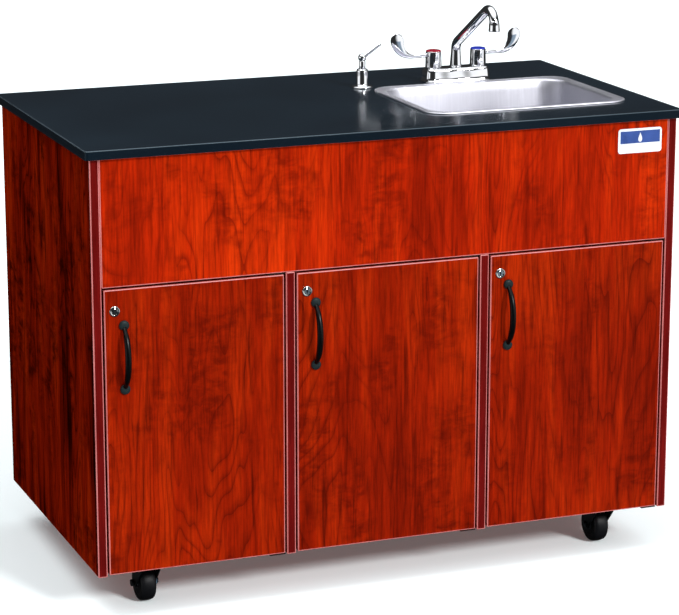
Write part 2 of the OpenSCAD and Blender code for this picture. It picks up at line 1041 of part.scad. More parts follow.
// Corner positions in the order front left, front right, rear left, rear right.
function corner(n) = [caster_x[n % 2], caster_y[floor(n / 2)]];

module at_corner(n) {
    translate([corner(n)[0], corner(n)[1], 0])
        children();
}

module caster_plates() {
    color(zinc)
        for (n = [0 : 3])
            at_corner(n) {
                board(-36, 36, -26, 26, base_z - 3, base_z);
                translate([0, 0, fork_top_z + 0.5])
                    cylinder(r = 21, h = base_z - 3 - fork_top_z - 0.4);
                translate([0, 0, fork_top_z - 10])
                    cylinder(r = kingpin_r, h = 12);
                translate([0, 0, fork_top_z - 11])
                    cylinder(r = 9, h = 5.4);
                for (sx = [-1, 1], sy = [-1, 1])
                    translate([sx * 29, sy * 19, base_z - 6])
                        hex_nut(5, 3.5);
            }
}

// A leg of the fork in the plane of the wheel.
function leg_outline() = concat(
    [[-20, fork_top_z], [-20, fork_top_z - 10]],
    arc_points(trail, axle_z, 10, 10, 200, 380, 12),
    [[trail + 6, fork_top_z - 12], [24, fork_top_z]]
);

module caster_fork(n) {
    color(zinc)
        at_corner(n)
            difference() {
                union() {
                    board(-fork_half - fork_leg_t, fork_half + fork_leg_t, -20, 24,
                        fork_top_z - 5, fork_top_z);
                    for (x = [-fork_half - fork_leg_t, fork_half])
                        translate([x, 0, 0])
                            rotate([90, 0, 90])
                                linear_extrude(fork_leg_t)
                                    polygon(leg_outline());
                    translate([-28, trail, axle_z])
                        rotate([0, 90, 0])
                            cylinder(r = axle_r, h = 56);
                    for (x = [-28, 25])
                        translate([x, trail, axle_z])
                            rotate([0, 90, 0])
                                hex_nut(7.5, x < 0 ? 5.5 : 3);
                }
                translate([0, 0, fork_top_z - 6])
                    cylinder(r = kingpin_r + run_gap, h = 8);
            }
}

module caster_fork_1() {
    caster_fork(0);
}

module caster_fork_2() {
    caster_fork(1);
}

module caster_fork_3() {
    caster_fork(2);
}

module caster_fork_4() {
    caster_fork(3);
}

module caster_wheel(n) {
    edge = 6;
    color(black)
        at_corner(n)
            translate([0, trail, axle_z])
                rotate([0, 90, 0])
                    difference() {
                        union() {
                            rotate_extrude()
                                polygon(concat(
                                    [[2, -wheel_w / 2 + 2], [wheel_r - 12, -wheel_w / 2 + 2],
                                        [wheel_r - 10, -wheel_w / 2]],
                                    arc_points(wheel_r - edge, edge - wheel_w / 2, edge, edge, -90, 0, 5),
                                    arc_points(wheel_r - edge, wheel_w / 2 - edge, edge, edge, 0, 90, 5),
                                    [[wheel_r - 10, wheel_w / 2], [wheel_r - 12, wheel_w / 2 - 2],
                                        [2, wheel_w / 2 - 2]]
                                ));
                            translate([0, 0, -wheel_w / 2 - 1.5])
                                cylinder(r = 11, h = wheel_w + 3);
                        }
                        translate([0, 0, -wheel_w])
                            cylinder(r = axle_r + run_gap, h = 2 * wheel_w);
                    }
}

module caster_wheel_1() {
    caster_wheel(0);
}

module caster_wheel_2() {
    caster_wheel(1);
}

module caster_wheel_3() {
    caster_wheel(2);
}

module caster_wheel_4() {
    caster_wheel(3);
}

// A foot tab that turns on the axle's end beside the right leg.
module brake_lever(n) {
    inner = fork_half + fork_leg_t + 0.5;
    color([0.55, 0.62, 0.70])
        at_corner(n)
            difference() {
                union() {
                    translate([inner, trail, axle_z])
                        rotate([90, 0, 90])
                            linear_extrude(3)
                                polygon(concat(
                                    arc_points(0, 0, 10, 10, 180, 360, 12),
                                    [[8, 40], [-8, 40]]
                                ));
                    board(inner, inner + 18, trail - 9, trail + 9, axle_z + 38, axle_z + 41);
                    board(inner + 15, inner + 18, trail - 9, trail + 9, axle_z + 32, axle_z + 41);
                }
                translate([inner - 1, trail, axle_z])
                    rotate([0, 90, 0])
                        cylinder(r = axle_r + run_gap, h = 5);
            }
}

module brake_lever_1() {
    brake_lever(0);
}

module brake_lever_2() {
    brake_lever(1);
}

// ---------------------------------------------------------------- assembly

side_panel_left();
side_panel_right();
divider_left();
divider_right();
apron_panel();
back_panel();
bottom_panel();
top_rails();
worktop();
badge_plate();
sink_bowl();
sink_strainer();
drain_tailpiece();
drain_hose();
faucet_body();
faucet_shanks();
supply_hoses();
spout();
hot_handle();
cold_handle();
hot_index();
cold_index();
soap_collar();
soap_bottle();
soap_plunger();
soap_nozzle();
fresh_tank();
fresh_cap();
waste_tank();
water_pump();
water_heater();
heater_knob();
power_inlet();
switch_box();
rocker_switch();
rear_vent();
pivot_brackets();
door_panel_1();
door_panel_2();
door_panel_3();
door_pull_1();
door_pull_2();
door_pull_3();
door_lock_1();
door_lock_2();
door_lock_3();
lock_core_1();
lock_core_2();
lock_core_3();
caster_plates();
caster_fork_1();
caster_fork_2();
caster_fork_3();
caster_fork_4();
caster_wheel_1();
caster_wheel_2();
caster_wheel_3();
caster_wheel_4();
brake_lever_1();
brake_lever_2();
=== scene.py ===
"""Looks for the portable handwash sink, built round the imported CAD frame.

Metres, in the frame's own axes: X to the right, Y to the back, Z up from the floor.
Each piece rides on a CAD body, and most stand in for a CAD node.
"""

import math
import random

import bmesh
import bpy
from mathutils import Matrix, Vector


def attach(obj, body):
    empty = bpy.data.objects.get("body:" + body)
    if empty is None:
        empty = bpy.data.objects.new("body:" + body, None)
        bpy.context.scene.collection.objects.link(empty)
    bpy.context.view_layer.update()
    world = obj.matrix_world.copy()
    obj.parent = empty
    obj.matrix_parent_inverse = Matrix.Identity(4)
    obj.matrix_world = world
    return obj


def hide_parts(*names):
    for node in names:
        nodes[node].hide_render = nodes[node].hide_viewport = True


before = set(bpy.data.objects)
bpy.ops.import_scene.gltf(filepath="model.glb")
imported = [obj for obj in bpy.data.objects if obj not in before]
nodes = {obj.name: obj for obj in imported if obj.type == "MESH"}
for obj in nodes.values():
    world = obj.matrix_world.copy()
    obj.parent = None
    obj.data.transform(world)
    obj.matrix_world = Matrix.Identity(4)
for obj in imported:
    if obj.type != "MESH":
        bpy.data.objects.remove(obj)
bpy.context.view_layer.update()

# ------------------------------------------------------------------ dimensions

# FRONT and BACK are in Y; BASE, APRON, TOP and WORK are heights, up to the worktop's upper face.
FRONT = -0.324
BACK = FRONT + 0.670
BASE = 0.090
TOP = BASE + 0.838
WORK = TOP + 0.018
APRON = TOP - 0.253
HALF = 0.625
BOARD = 0.019
DOOR_Z = (BASE + 0.003, APRON - 0.004)
DOOR_X = ((-0.602, -0.234), (-0.207, 0.184), (0.211, 0.602))
# Each drop is below the door's top edge, and each in is from its left edge.
LOCK_DROP = (0.043, 0.038, 0.038)
PULL_DROP = (0.072, 0.062, 0.062)
LOCK_IN = 0.021
PULL_IN = 0.039
PULL_SPAN = 0.128
SINK = Vector((0.350, FRONT + 0.280, WORK))
FAUCET = Vector((0.342, FRONT + 0.489, WORK))
SOAP = Vector((0.118, FRONT + 0.475, WORK))
CASTERS = [(x, y) for y in (FRONT + 0.065, FRONT + 0.595) for x in (-0.505, 0.505)]
TRAIL = 0.025
WHEEL_R = 0.038

# ------------------------------------------------------------------ camera

camera_data = bpy.data.cameras.new("camera")
camera = bpy.data.objects.new("camera", camera_data)
bpy.context.scene.collection.objects.link(camera)
camera_data.lens = 142.6
camera_data.sensor_width = 36
camera_data.clip_end = 100
camera.location = (-1.980, -5.154, 1.915)
camera.rotation_euler = (math.radians(90 - 14.32), 0, math.radians(-21.09))
bpy.context.scene.camera = camera

# ------------------------------------------------------------------ materials


class Recipe:
    """A node material under construction, with short helpers for its nodes."""

    def __init__(self, name):
        self.material = bpy.data.materials.new(name)
        self.material.use_nodes = True
        self.tree = self.material.node_tree
        self.shader = self.tree.nodes["Principled BSDF"]
        self.coords = self.node("ShaderNodeTexCoord").outputs["Object"]

    def node(self, kind, **settings):
        made = self.tree.nodes.new(kind)
        for key, value in settings.items():
            setattr(made, key, value)
        return made

    def link(self, source, target):
        self.tree.links.new(source, target)

    def mapped(self, scale, offset=(0, 0, 0)):
        mapping = self.node("ShaderNodeMapping")
        mapping.inputs["Scale"].default_value = scale
        mapping.inputs["Location"].default_value = offset
        self.link(self.coords, mapping.inputs["Vector"])
        return mapping.outputs["Vector"]

    def noise(self, vector, scale, detail, rough=0.55, distortion=0.0):
        made = self.node("ShaderNodeTexNoise")
        made.inputs["Scale"].default_value = scale
        made.inputs["Detail"].default_value = detail
        made.inputs["Roughness"].default_value = rough
        made.inputs["Distortion"].default_value = distortion
        self.link(vector, made.inputs["Vector"])
        return made.outputs["Fac"]

    def ramp(self, value, stops):
        made = self.node("ShaderNodeValToRGB")
        elements = made.color_ramp.elements
        while len(elements) < len(stops):
            elements.new(0.5)
        for element, (place, colour) in zip(elements, stops):
            element.position = place
            element.color = (*colour, 1)
        self.link(value, made.inputs["Fac"])
        return made.outputs["Color"]

    def span(self, value, low, high, out_low, out_high):
        made = self.node("ShaderNodeMapRange")
        made.inputs["From Min"].default_value = low
        made.inputs["From Max"].default_value = high
        made.inputs["To Min"].default_value = out_low
        made.inputs["To Max"].default_value = out_high
        self.link(value, made.inputs["Value"])
        return made.outputs["Result"]

    def sums(self, operation, a, b):
        made = self.node("ShaderNodeMath", operation=operation)
        for socket, value in zip(made.inputs, (a, b)):
            if isinstance(value, (int, float)):
                socket.default_value = value
            else:
                self.link(value, socket)
        return made.outputs[0]

    def mix(self, factor, a, b, blend="MIX"):
        made = self.node("ShaderNodeMix", data_type="RGBA", blend_type=blend)
        for socket, value in zip((made.inputs[0], made.inputs[6], made.inputs[7]), (factor, a, b)):
            if isinstance(value, (int, float)):
                socket.default_value = value
            elif isinstance(value, tuple):
                socket.default_value = (*value, 1)
            else:
                self.link(value, socket)
        return made.outputs[2]

    def bump(self, height, strength, distance):
        made = self.node("ShaderNodeBump")
        made.inputs["Strength"].default_value = strength
        made.inputs["Distance"].default_value = distance
        self.link(height, made.inputs["Height"])
        self.link(made.outputs["Normal"], self.shader.inputs["Normal"])

    def colour(self, value):
        self.link(value, self.shader.inputs["Base Color"])

    def rough(self, value):
        self.link(value, self.shader.inputs["Roughness"])

    def tinted_gloss(self, level, tint):
        """A weak gloss in the surface's own hue, as a varnish over wood shows."""
        self.shader.inputs["Specular IOR Level"].default_value = level
        self.shader.inputs["Specular Tint"].default_value = (*tint, 1)

    def fixed(self, **values):
        for key, value in values.items():
            self.shader.inputs[key.replace("_", " ")].default_value = value


def cherry(name, seed, dim, gloss=0.05, depth=1.0, gloom=0.0):
    """Cherry laminate with upright grain: flame lines, curly smudges, fine fibres and thin dark veins.

    dim scales every colour, depth below 1 darkens the dark ones further, and gloom spreads them.
    """
    r = Recipe(name)
    draw = random.Random(seed)
    shift = tuple(draw.uniform(-9, 9) for _ in range(3))
    light, middle, deep, dark = [tuple(dim * share * c for c in colour) for share, colour in
                                 ((1, (0.430, 0.0215, 0.0010)), (1, (0.300, 0.0105, 0.0006)),
                                  (depth, (0.165, 0.0050, 0.0005)), (depth, (0.050, 0.0018, 0.0005)))]
    bands = r.noise(r.mapped((1, 1, 0.07), shift), 30.0, 4.0, 0.6, 0.3)
    drift = r.noise(r.mapped((1, 1, 0.40), shift), 4.5, 3.0)
    tone = r.sums("ADD", r.sums("MULTIPLY", bands, 0.5), r.sums("MULTIPLY", drift, 0.5))
    base = r.ramp(tone, [(0.33 + gloom, deep), (0.47 + gloom, middle), (0.62, light)])
    figure = r.noise(r.mapped((1, 1, 0.16), shift), 5.5, 2.5, 0.5, 0.4)
    rings = r.sums("FRACT", r.sums("MULTIPLY", figure, 34.0), 0.0)
    line = r.ramp(rings, [(0.0, (1, 1, 1)), (0.10, (0.5,) * 3), (0.34, (0, 0, 0)), (0.80, (0, 0, 0)),
                          (1.0, (0.4,) * 3)])
    patch = r.span(r.noise(r.mapped((1, 1, 0.3), shift), 7.0, 2.0), 0.40, 0.58, 0.10, 0.85)
    lined = r.mix(r.sums("MULTIPLY", line, patch), base, tuple(0.6 * a + 0.4 * b for a, b in zip(deep, dark)))
    curl = r.noise(r.mapped((1, 1, 1.9), shift), 26.0, 4.0, 0.60, 0.5)
    where = r.span(r.noise(r.mapped((1, 1, 0.6), shift), 11.0, 3.0, 0.6, 0.4), 0.46, 0.64, 0.0, 1.0)
    smudge = r.sums("MULTIPLY", where, r.span(curl, 0.38, 0.64, 0.10, 0.80))
    smudged = r.mix(smudge, lined, tuple(0.6 * a + 0.4 * b for a, b in zip(deep, dark)))
    vein = r.noise(r.mapped((1, 1, 0.045), shift), 100.0, 3.0, 0.6, 0.4)
    veined = r.mix(r.span(vein, 0.58, 0.70, 0.0, 0.55), smudged, dark)
    fibres = r.noise(r.mapped((1, 1, 0.05), shift), 210.0, 3.0, 0.7)
    shaded = r.ramp(fibres, [(0.34, (0.60,) * 3), (0.62, (1.26,) * 3)])
    r.colour(r.mix(0.75, veined, r.mix(1.0, veined, shaded, "MULTIPLY")))
    r.rough(r.span(bands, 0.3, 0.7, 0.34, 0.46))
    r.tinted_gloss(gloss, (1.0, 0.25, 0.12))
    r.bump(r.sums("ADD", fibres, r.sums("MULTIPLY", vein, 0.6)), 0.10, 0.0004)
    return r.material


def band_highlight(name):
    """Edge banding on the boards' rounded edges, coloured mauve as a painted highlight of light caught on the
    rounding.
    """
    r = Recipe(name)
    cloud = r.noise(r.mapped((1, 1, 0.2)), 60.0, 4.0)
    r.colour(r.ramp(cloud, [(0.3, (0.400, 0.100, 0.095)), (0.7, (0.540, 0.165, 0.155))]))
    r.rough(r.span(cloud, 0.3, 0.7, 0.25, 0.38))
    r.fixed(Specular_IOR_Level=0.35)
    r.bump(r.noise(r.mapped((1, 1, 1)), 900.0, 2.0), 0.05, 0.0002)
    return r.material


def painted_edge(name):
    """Dark red banding on the upright front edges of the sides and dividers."""
    r = Recipe(name)
    fibres = r.noise(r.mapped((1, 1, 0.04)), 500.0, 3.0)
    bands = r.noise(r.mapped((1, 1, 0.15)), 40.0, 3.0)
    base = r.ramp(bands, [(0.35, (0.078, 0.0022, 0.0020)), (0.65, (0.125, 0.0040, 0.0034))])
    r.colour(r.mix(r.span(fibres, 0.4, 0.7, 0.0, 0.5), base, (0.040, 0.0012, 0.0012)))
    r.rough(r.span(bands, 0.3, 0.7, 0.36, 0.46))
    r.tinted_gloss(0.06, (1.0, 0.20, 0.15))
    r.bump(fibres, 0.08, 0.0003)
    return r.material


def laminate(name, low=(0.0065, 0.0120, 0.0185), high=(0.0095, 0.0175, 0.0260), shine=0.32,
             spread=(0.13, 0.18)):
    """Dark slate laminate with a fine pebbled grain and a faint speckle."""
    r = Recipe(name)
    grain = r.noise(r.mapped((1, 1, 1)), 1400.0, 2.0, 0.6)
    speck = r.noise(r.mapped((1, 1, 1)), 420.0, 3.0, 0.7)
    cloud = r.noise(r.mapped((1, 1, 1)), 2.6, 3.0, 0.5)
    base = r.ramp(cloud, [(0.35, low), (0.7, high)])
    spotted = r.mix(r.span(speck, 0.62, 0.74, 0.0, 0.5), base, (0.032, 0.042, 0.055))
    r.colour(spotted)
    r.rough(r.span(cloud, 0.3, 0.7, *spread))
    r.tinted_gloss(shine, (0.70, 0.93, 1.0))
    r.bump(grain, 0.06, 0.0003)
    return r.material


def brushed(name, colour, along, rough, strength, size=260.0, reflection_bands=0.0, streak=0.14):
    """Brushed sheet metal. along is its stretch in X, Y and Z.

    The next to last argument gives the depth of broad soft dark bands, which are painted reflections, and
    streak that of the fine lines.
    """
    r = Recipe(name)
    lines = r.noise(r.mapped(along), size, 4.0, 0.7)
    cloud = r.noise(r.mapped((1, 1, 1)), 9.0, 3.0)
    light = tuple(min(1, c * 1.06) for c in colour)
    deep = tuple(c * (1 - streak) for c in colour)
    # Broad soft bands darken the colour: painted reflections of the room across the metal.
    shade = r.span(r.noise(r.mapped(along), 7.0, 1.0), 0.38, 0.60, reflection_bands, 0.0)
    r.colour(r.mix(shade, r.mix(r.span(lines, 0.3, 0.7, 0.0, 1.0), deep, light), (0.10, 0.10, 0.13)))
    r.rough(r.sums("ADD", r.span(lines, 0.3, 0.7, rough[0], rough[1]), r.span(cloud, 0.3, 0.7, -0.03, 0.05)))
    r.fixed(Metallic=1.0)
    r.bump(lines, strength, 0.0003)
    return r.material


def polished(name, colour=(0.86, 0.87, 0.89)):
    """Chrome plate with faint wipe marks and slightly duller patches."""
    r = Recipe(name)
    wipe = r.noise(r.mapped((1, 1, 0.3)), 90.0, 4.0, 0.6, 0.4)
    patch = r.noise(r.mapped((1, 1, 1)), 24.0, 3.0)
    deep = tuple(c * 0.93 for c in colour)
    r.colour(r.mix(r.span(patch, 0.3, 0.7, 0.0, 1.0), deep, colour))
    r.rough(r.sums("ADD", r.span(wipe, 0.4, 0.8, 0.035, 0.075), r.span(patch, 0.45, 0.75, 0.0, 0.03)))
    r.fixed(Metallic=1.0)
    r.bump(wipe, 0.02, 0.0002)
    return r.material


def moulded(name, colour, rough, grain, strength, metallic=0.0, shine=0.35):
    """Moulded plastic, paint or plate with orange-peel bump and cloudy gloss."""
    r = Recipe(name)
    peel = r.noise(r.mapped((1, 1, 1)), grain, 3.0, 0.6)
    cloud = r.noise(r.mapped((1, 1, 1)), 35.0, 4.0, 0.6)
    deep = tuple(c * 0.80 for c in colour)
    light = tuple(min(1, c * 1.12) for c in colour)
    r.colour(r.mix(r.span(cloud, 0.3, 0.7, 0.0, 1.0), deep, light))
    r.rough(r.span(cloud, 0.3, 0.7, rough - 0.06, rough + 0.08))
    r.fixed(Metallic=metallic, Specular_IOR_Level=shine)
    r.bump(peel, strength, 0.0003)
    return r.material


def frosted(name, colour, seen=0.35):
    """Frosted tank plastic that lets some light through."""
    r = Recipe(name)
    cloud = r.noise(r.mapped((1, 1, 1)), 14.0, 4.0)
    deep = tuple(c * 0.88 for c in colour)
    r.colour(r.mix(r.span(cloud, 0.3, 0.7, 0.0, 1.0), deep, colour))
    r.rough(r.span(cloud, 0.3, 0.7, 0.38, 0.52))
    r.fixed(Transmission_Weight=seen)
    r.bump(r.noise(r.mapped((1, 1, 1)), 500.0, 2.0), 0.08, 0.0003)
    return r.material


def braided(name):
    """Steel braid: two crossing families of thin wires."""
    r = Recipe(name)
    waves = []
    for lean in (0.8, -0.8):
        wave = r.node("ShaderNodeTexWave", wave_type="BANDS", bands_direction="DIAGONAL")
        wave.inputs["Scale"].default_value = 260.0
        wave.inputs["Distortion"].default_value = 0.6
        r.link(r.mapped((1, 1, lean)), wave.inputs["Vector"])
        waves.append(wave.outputs["Fac"])
    weave = r.sums("MULTIPLY", waves[0], waves[1])
    r.colour(r.ramp(weave, [(0.1, (0.16, 0.17, 0.18)), (0.6, (0.62, 0.64, 0.66))]))
    r.rough(r.span(weave, 0.0, 1.0, 0.45, 0.28))
    r.fixed(Metallic=0.9)
    r.bump(weave, 0.5, 0.0006)
    return r.material


# The apron board gets a brighter copy of the cherry: painted light, as the apron sits nearer the light above
# the front.
APRON_LIT_BOARD = 1
CHERRY = [cherry(f"cherry_{i}", 11 + 7 * i, 1.03 if i == APRON_LIT_BOARD else 0.66) for i in range(9)]
# The left side gets a darker copy of the cherry, with its dark tones deepened and spread: painted shade on
# the side turned away from the light.
CHERRY_PAINTED_SHADE = cherry("cherry_painted_shade", 97, 0.40, 0.0, 0.13, 0.06)
# Mauve banding for the rounded edges: a painted highlight.
BAND_HIGHLIGHT = band_highlight("band_highlight")
FRONT_EDGE = painted_edge("front_edge")
SLATE = laminate("slate_laminate")
# The worktop's upright sides get a darker copy of the laminate: painted shade.
SLATE_SIDE_SHADED = laminate("slate_side_shaded", (0.0014, 0.0040, 0.0080), (0.0024, 0.0062, 0.0115), 0.16, (0.26, 0.34))
# The eased top edges get a lighter copy of the laminate: a painted highlight along the rounding.
SLATE_EDGE_HIGHLIGHT = laminate("slate_edge_highlight", (0.030, 0.042, 0.052), (0.060, 0.078, 0.092))
# The bowl steel carries broad painted reflection bands.
STEEL = brushed("bowl_steel", (0.71, 0.71, 0.77), (1, 0.05, 0.05), (0.40, 0.46), 0.015, 200.0, 0.34, 0.04)
STRAINER_STEEL = brushed("strainer_steel", (0.66, 0.67, 0.69), (1, 1, 1), (0.18, 0.30), 0.05)
CHROME = polished("chrome")
LOCK_CHROME = polished("lock_chrome", (0.70, 0.73, 0.70))
PLUG_CHROME = polished("plug_chrome", (0.60, 0.63, 0.62))
ZINC = moulded("zinc_plate", (0.30, 0.32, 0.36), 0.36, 420.0, 0.12, 0.9)
# Lighter zinc for bevelled edges: a painted highlight.
ZINC_HIGHLIGHT = moulded("zinc_highlight", (0.60, 0.63, 0.66), 0.30, 420.0, 0.08, 0.9)
TAB_BLUE = moulded("brake_tab", (0.20, 0.30, 0.40), 0.30, 500.0, 0.08, 0.6)
# Lighter blue for the tab's bevelled edges: a painted highlight.
TAB_HIGHLIGHT = moulded("brake_tab_highlight", (0.50, 0.60, 0.68), 0.28, 500.0, 0.06, 0.6)
BRASS = moulded("brass", (0.60, 0.44, 0.18), 0.34, 300.0, 0.10, 0.9)
# Lighter brass for bevelled edges: a painted highlight.
BRASS_HIGHLIGHT = moulded("brass_highlight", (0.80, 0.66, 0.36), 0.30, 300.0, 0.06, 0.9)
BRONZE = moulded("bracket_bronze", (0.020, 0.008, 0.006), 0.50, 500.0, 0.10, 0.5)
PULL_BLACK = moulded("pull_black", (0.0012, 0.0017, 0.0019), 0.32, 900.0, 0.06, 0.0, 0.16)
PULL_FOOT = moulded("pull_foot", (0.0085, 0.0150, 0.0160), 0.45, 900.0, 0.10, 0.0, 0.15)
PLASTIC = moulded("black_plastic", (0.010, 0.010, 0.012), 0.48, 800.0, 0.14)
# Lighter black for bevelled edges of plastic and rubber parts: a painted highlight.
PLASTIC_HIGHLIGHT = moulded("black_plastic_highlight", (0.040, 0.040, 0.044), 0.42, 800.0, 0.10)
FORK = moulded("caster_fork", (0.0040, 0.0046, 0.0060), 0.36, 500.0, 0.10, 0.0, 0.35)
# Lighter black for the forks' bevelled edges: a painted highlight.
FORK_HIGHLIGHT = moulded("caster_fork_highlight", (0.030, 0.034, 0.040), 0.32, 500.0, 0.08, 0.3)
TYRE = moulded("caster_rubber", (0.0030, 0.0032, 0.0045), 0.50, 600.0, 0.16, 0.0, 0.18)
HUB = moulded("wheel_hub", (0.006, 0.006, 0.008), 0.34, 500.0, 0.08, 0.0, 0.25)
BRAID = braided("braided_hose")
RUBBER_HOSE = moulded("drain_rubber", (0.045, 0.047, 0.052), 0.50, 500.0, 0.14)
BADGE = moulded("badge_white", (0.72, 0.74, 0.78), 0.30, 500.0, 0.03, 0.0, 0.2)
BADGE_BLUE = moulded("badge_blue", (0.030, 0.065, 0.235), 0.30, 500.0, 0.03, 0.0, 0.2)
RED = moulded("red_mark", (0.36, 0.004, 0.024), 0.18, 400.0, 0.03)
BLUE = moulded("blue_mark", (0.014, 0.030, 0.36), 0.20, 400.0, 0.03)
JUG_CLEAR = frosted("jug_clear", (0.74, 0.82, 0.88))
JUG_GREY = frosted("jug_grey", (0.40, 0.42, 0.44), 0.15)
BOTTLE = frosted("bottle_plastic", (0.80, 0.84, 0.80), 0.45)
ENAMEL = moulded("heater_enamel", (0.74, 0.75, 0.76), 0.28, 350.0, 0.08)
CAP_BLUE = moulded("cap_blue", (0.020, 0.070, 0.260), 0.40, 700.0, 0.10)
# Lighter blue for the cap's bevelled edges: a painted highlight.
CAP_HIGHLIGHT = moulded("cap_highlight", (0.060, 0.140, 0.380), 0.38, 700.0, 0.08)
# Near black for dark patches standing in for hollows: painted shade.
KEYWAY_SHADE = moulded("keyway_painted_shade", (0.004, 0.004, 0.005), 0.6, 400.0, 0.1)

# ------------------------------------------------------------------ mesh helpers


def finish_piece(mesh_name, mesh, body, materials, node=None, smooth=True):
    """Adds a mesh to the scene, shades it, and lets it ride on a body and stand in for a node."""
    obj = bpy.data.objects.new(mesh_name, mesh)
    bpy.context.scene.collection.objects.link(obj)
    for material in materials:
        mesh.materials.append(material)
    for face in mesh.polygons:
        face.use_smooth = smooth
    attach(obj, body)
    if node:
        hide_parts(*([node] if isinstance(node, str) else node))
    return obj


def mesh_from(name, bm):
    bmesh.ops.recalc_face_normals(bm, faces=bm.faces)
    mesh = bpy.data.meshes.new(name)
    bm.to_mesh(mesh)
    bm.free()
    return mesh


def bevel_modifier(obj, width, segments=3):
    made = obj.modifiers.new("bevel", "BEVEL")
    made.width = width
    made.segments = segments
    made.limit_method = "ANGLE"
    made.angle_limit = math.radians(30)
    made.harden_normals = True
    return made


def add_loops(bm, loops, close_start=False, close_end=False, material=0):
    """Skins a row of closed loops that all have the same number of points."""
    rows = [[bm.verts.new(p) for p in loop] for loop in loops]
    count = len(rows[0])
    for low, high in zip(rows, rows[1:]):
        for i in range(count):
            j = (i + 1) % count
            face = bm.faces.new((low[i], low[j], high[j], high[i]))
            face.material_index = material
    if close_start:
        bm.faces.new(list(reversed(rows[0]))).material_index = material
    if close_end:
        bm.faces.new(rows[-1]).material_index = material
    return rows


def add_lathe(bm, profile, place, segments, material=0, ripple=None):
    """Turns (radius, height) points round the local Z axis of place. Radius 0 closes an end."""
    loops = []
    for radius, height in profile:
        loop = []
        for i in range(segments):
            a = 2 * math.pi * i / segments
            rr = max(radius, 1e-5) * (ripple(a, height) if ripple else 1.0)
            loop.append(place @ Vector((rr * math.cos(a), rr * math.sin(a), height)))
        loops.append(loop)
    rows = add_loops(bm, loops, material=material)
    for (radius, _), row, back in ((profile[0], rows[0], True), (profile[-1], rows[-1], False)):
        if radius == 0:
            bmesh.ops.pointmerge(bm, verts=row, merge_co=sum((v.co for v in row), Vector()) / len(row))
        else:
            face = bm.faces.new(list(reversed(row)) if back else row)
            face.material_index = material


def frames_along(points):
    """Parallel-transported side vectors along a path."""
    tangents = []
    for i in range(len(points)):
        a = points[max(i - 1, 0)]
        b = points[min(i + 1, len(points) - 1)]
        tangents.append((b - a).normalized())
    side = tangents[0].orthogonal().normalized()
    result = []
    for t in tangents:
        side = (side - t * side.dot(t)).normalized()
        result.append((t, side, t.cross(side)))
    return result


def add_tube(bm, points, radii, segments):
    """A round tube along a path, closed at both ends."""
    loops = []
    for p, (_, s, u), radius in zip(points, frames_along(points), radii):
        loops.append([
            p + radius * (math.cos(2 * math.pi * k / segments) * s + math.sin(2 * math.pi * k / segments) * u)
            for k in range(segments)
        ])
    add_loops(bm, loops, True, True)


def rounded_path(corners, radius):
    """A path through corner points with each corner rounded."""
    steps = 8
    path = [corners[0]]
    for a, b, c in zip(corners, corners[1:], corners[2:]):
        into = (a - b).normalized()
        out = (c - b).normalized()
        reach = min(radius, (a - b).length * 0.48, (c - b).length * 0.48)
        start = b + into * reach
        end = b + out * reach
        for i in range(steps + 1):
            t = i / steps
            path.append(start * (1 - t) ** 2 + b * (2 * t * (1 - t)) + end * t ** 2)
    path.append(corners[-1])
    return path


def resampled(path, step):
    """The same path with points at about equal spacing."""
    result = [path[0]]
    for a, b in zip(path, path[1:]):
        count = max(1, int((b - a).length / step))
        result += [a.lerp(b, (i + 1) / count) for i in range(count)]
    return result


def rect_loop(cx, cy, half_w, half_d, radius, z, per_corner=12):
    """A closed rounded rectangle, counterclockwise, with the same point count for any size."""
    radius = min(radius, half_w, half_d)
    loop = []
    for quarter, (sx, sy) in enumerate(((1, 1), (-1, 1), (-1, -1), (1, -1))):
        px = cx + sx * (half_w - radius)
        py = cy + sy * (half_d - radius)
        for i in range(per_corner + 1):
            a = math.radians(90 * quarter + 90 * i / per_corner)
            loop.append(Vector((px + radius * math.cos(a), py + radius * math.sin(a), z)))
    return loop


def spread_loop(loop, per_side=6):
    """Adds points along the four straight sides of a rounded rectangle."""
    quarter = len(loop) // 4
    result = []
    for q in range(4):
        arc = loop[q * quarter:(q + 1) * quarter]
        following = loop[((q + 1) * quarter) % len(loop)]
        result += arc
        result += [arc[-1].lerp(following, (i + 1) / (per_side + 1)) for i in range(per_side)]
    return result


ROUND_EDGE = 0.0022


def board(name, node, body, low, high, wood, outline=None, red_front=False):
    """A laminate board whose rounded edges carry the edge band, coloured as a painted highlight.

    outline is an optional shape in Y and Z, extruded from low x to high x.
    red_front puts the dark red banding on the front face.
    """
    bm = bmesh.new()
    if outline:
        left = [bm.verts.new((low[0], y, z)) for y, z in outline]
        face = bm.faces.new(left)
        moved = bmesh.ops.extrude_face_region(bm, geom=[face])
        verts = [g for g in moved["geom"] if isinstance(g, bmesh.types.BMVert)]
        bmesh.ops.translate(bm, verts=verts, vec=(high[0] - low[0], 0, 0))
    else:
        bmesh.ops.create_cube(bm, size=1)
        for v in bm.verts:
            v.co = Vector([low[i] + (v.co[i] + 0.5) * (high[i] - low[i]) for i in range(3)])
    bmesh.ops.recalc_face_normals(bm, faces=bm.faces)
    made = bmesh.ops.bevel(bm, geom=list(bm.edges), offset=ROUND_EDGE, segments=4, profile=0.5,
                           affect="EDGES", clamp_overlap=True)
    # The rounded edge faces take the mauve band, a painted highlight along the rounding.
    for face in made["faces"]:
        face.material_index = 1
    bm.normal_update()
    if red_front:
        for face in bm.faces:
            if face.normal.y < -0.999:
                face.material_index = 2
    mesh = mesh_from(name, bm)
    obj = finish_piece(name, mesh, body, [wood, BAND_HIGHLIGHT, FRONT_EDGE], node)
    obj.modifiers.new("normals", "WEIGHTED_NORMAL").keep_sharp = True
    return obj


# ------------------------------------------------------------------ cabinet boards

BAY = FRONT + BOARD + 0.0025
INNER_BACK = BACK - 0.012
DIVIDERS = ((-0.230, 0.819), (0.188, 0.640))
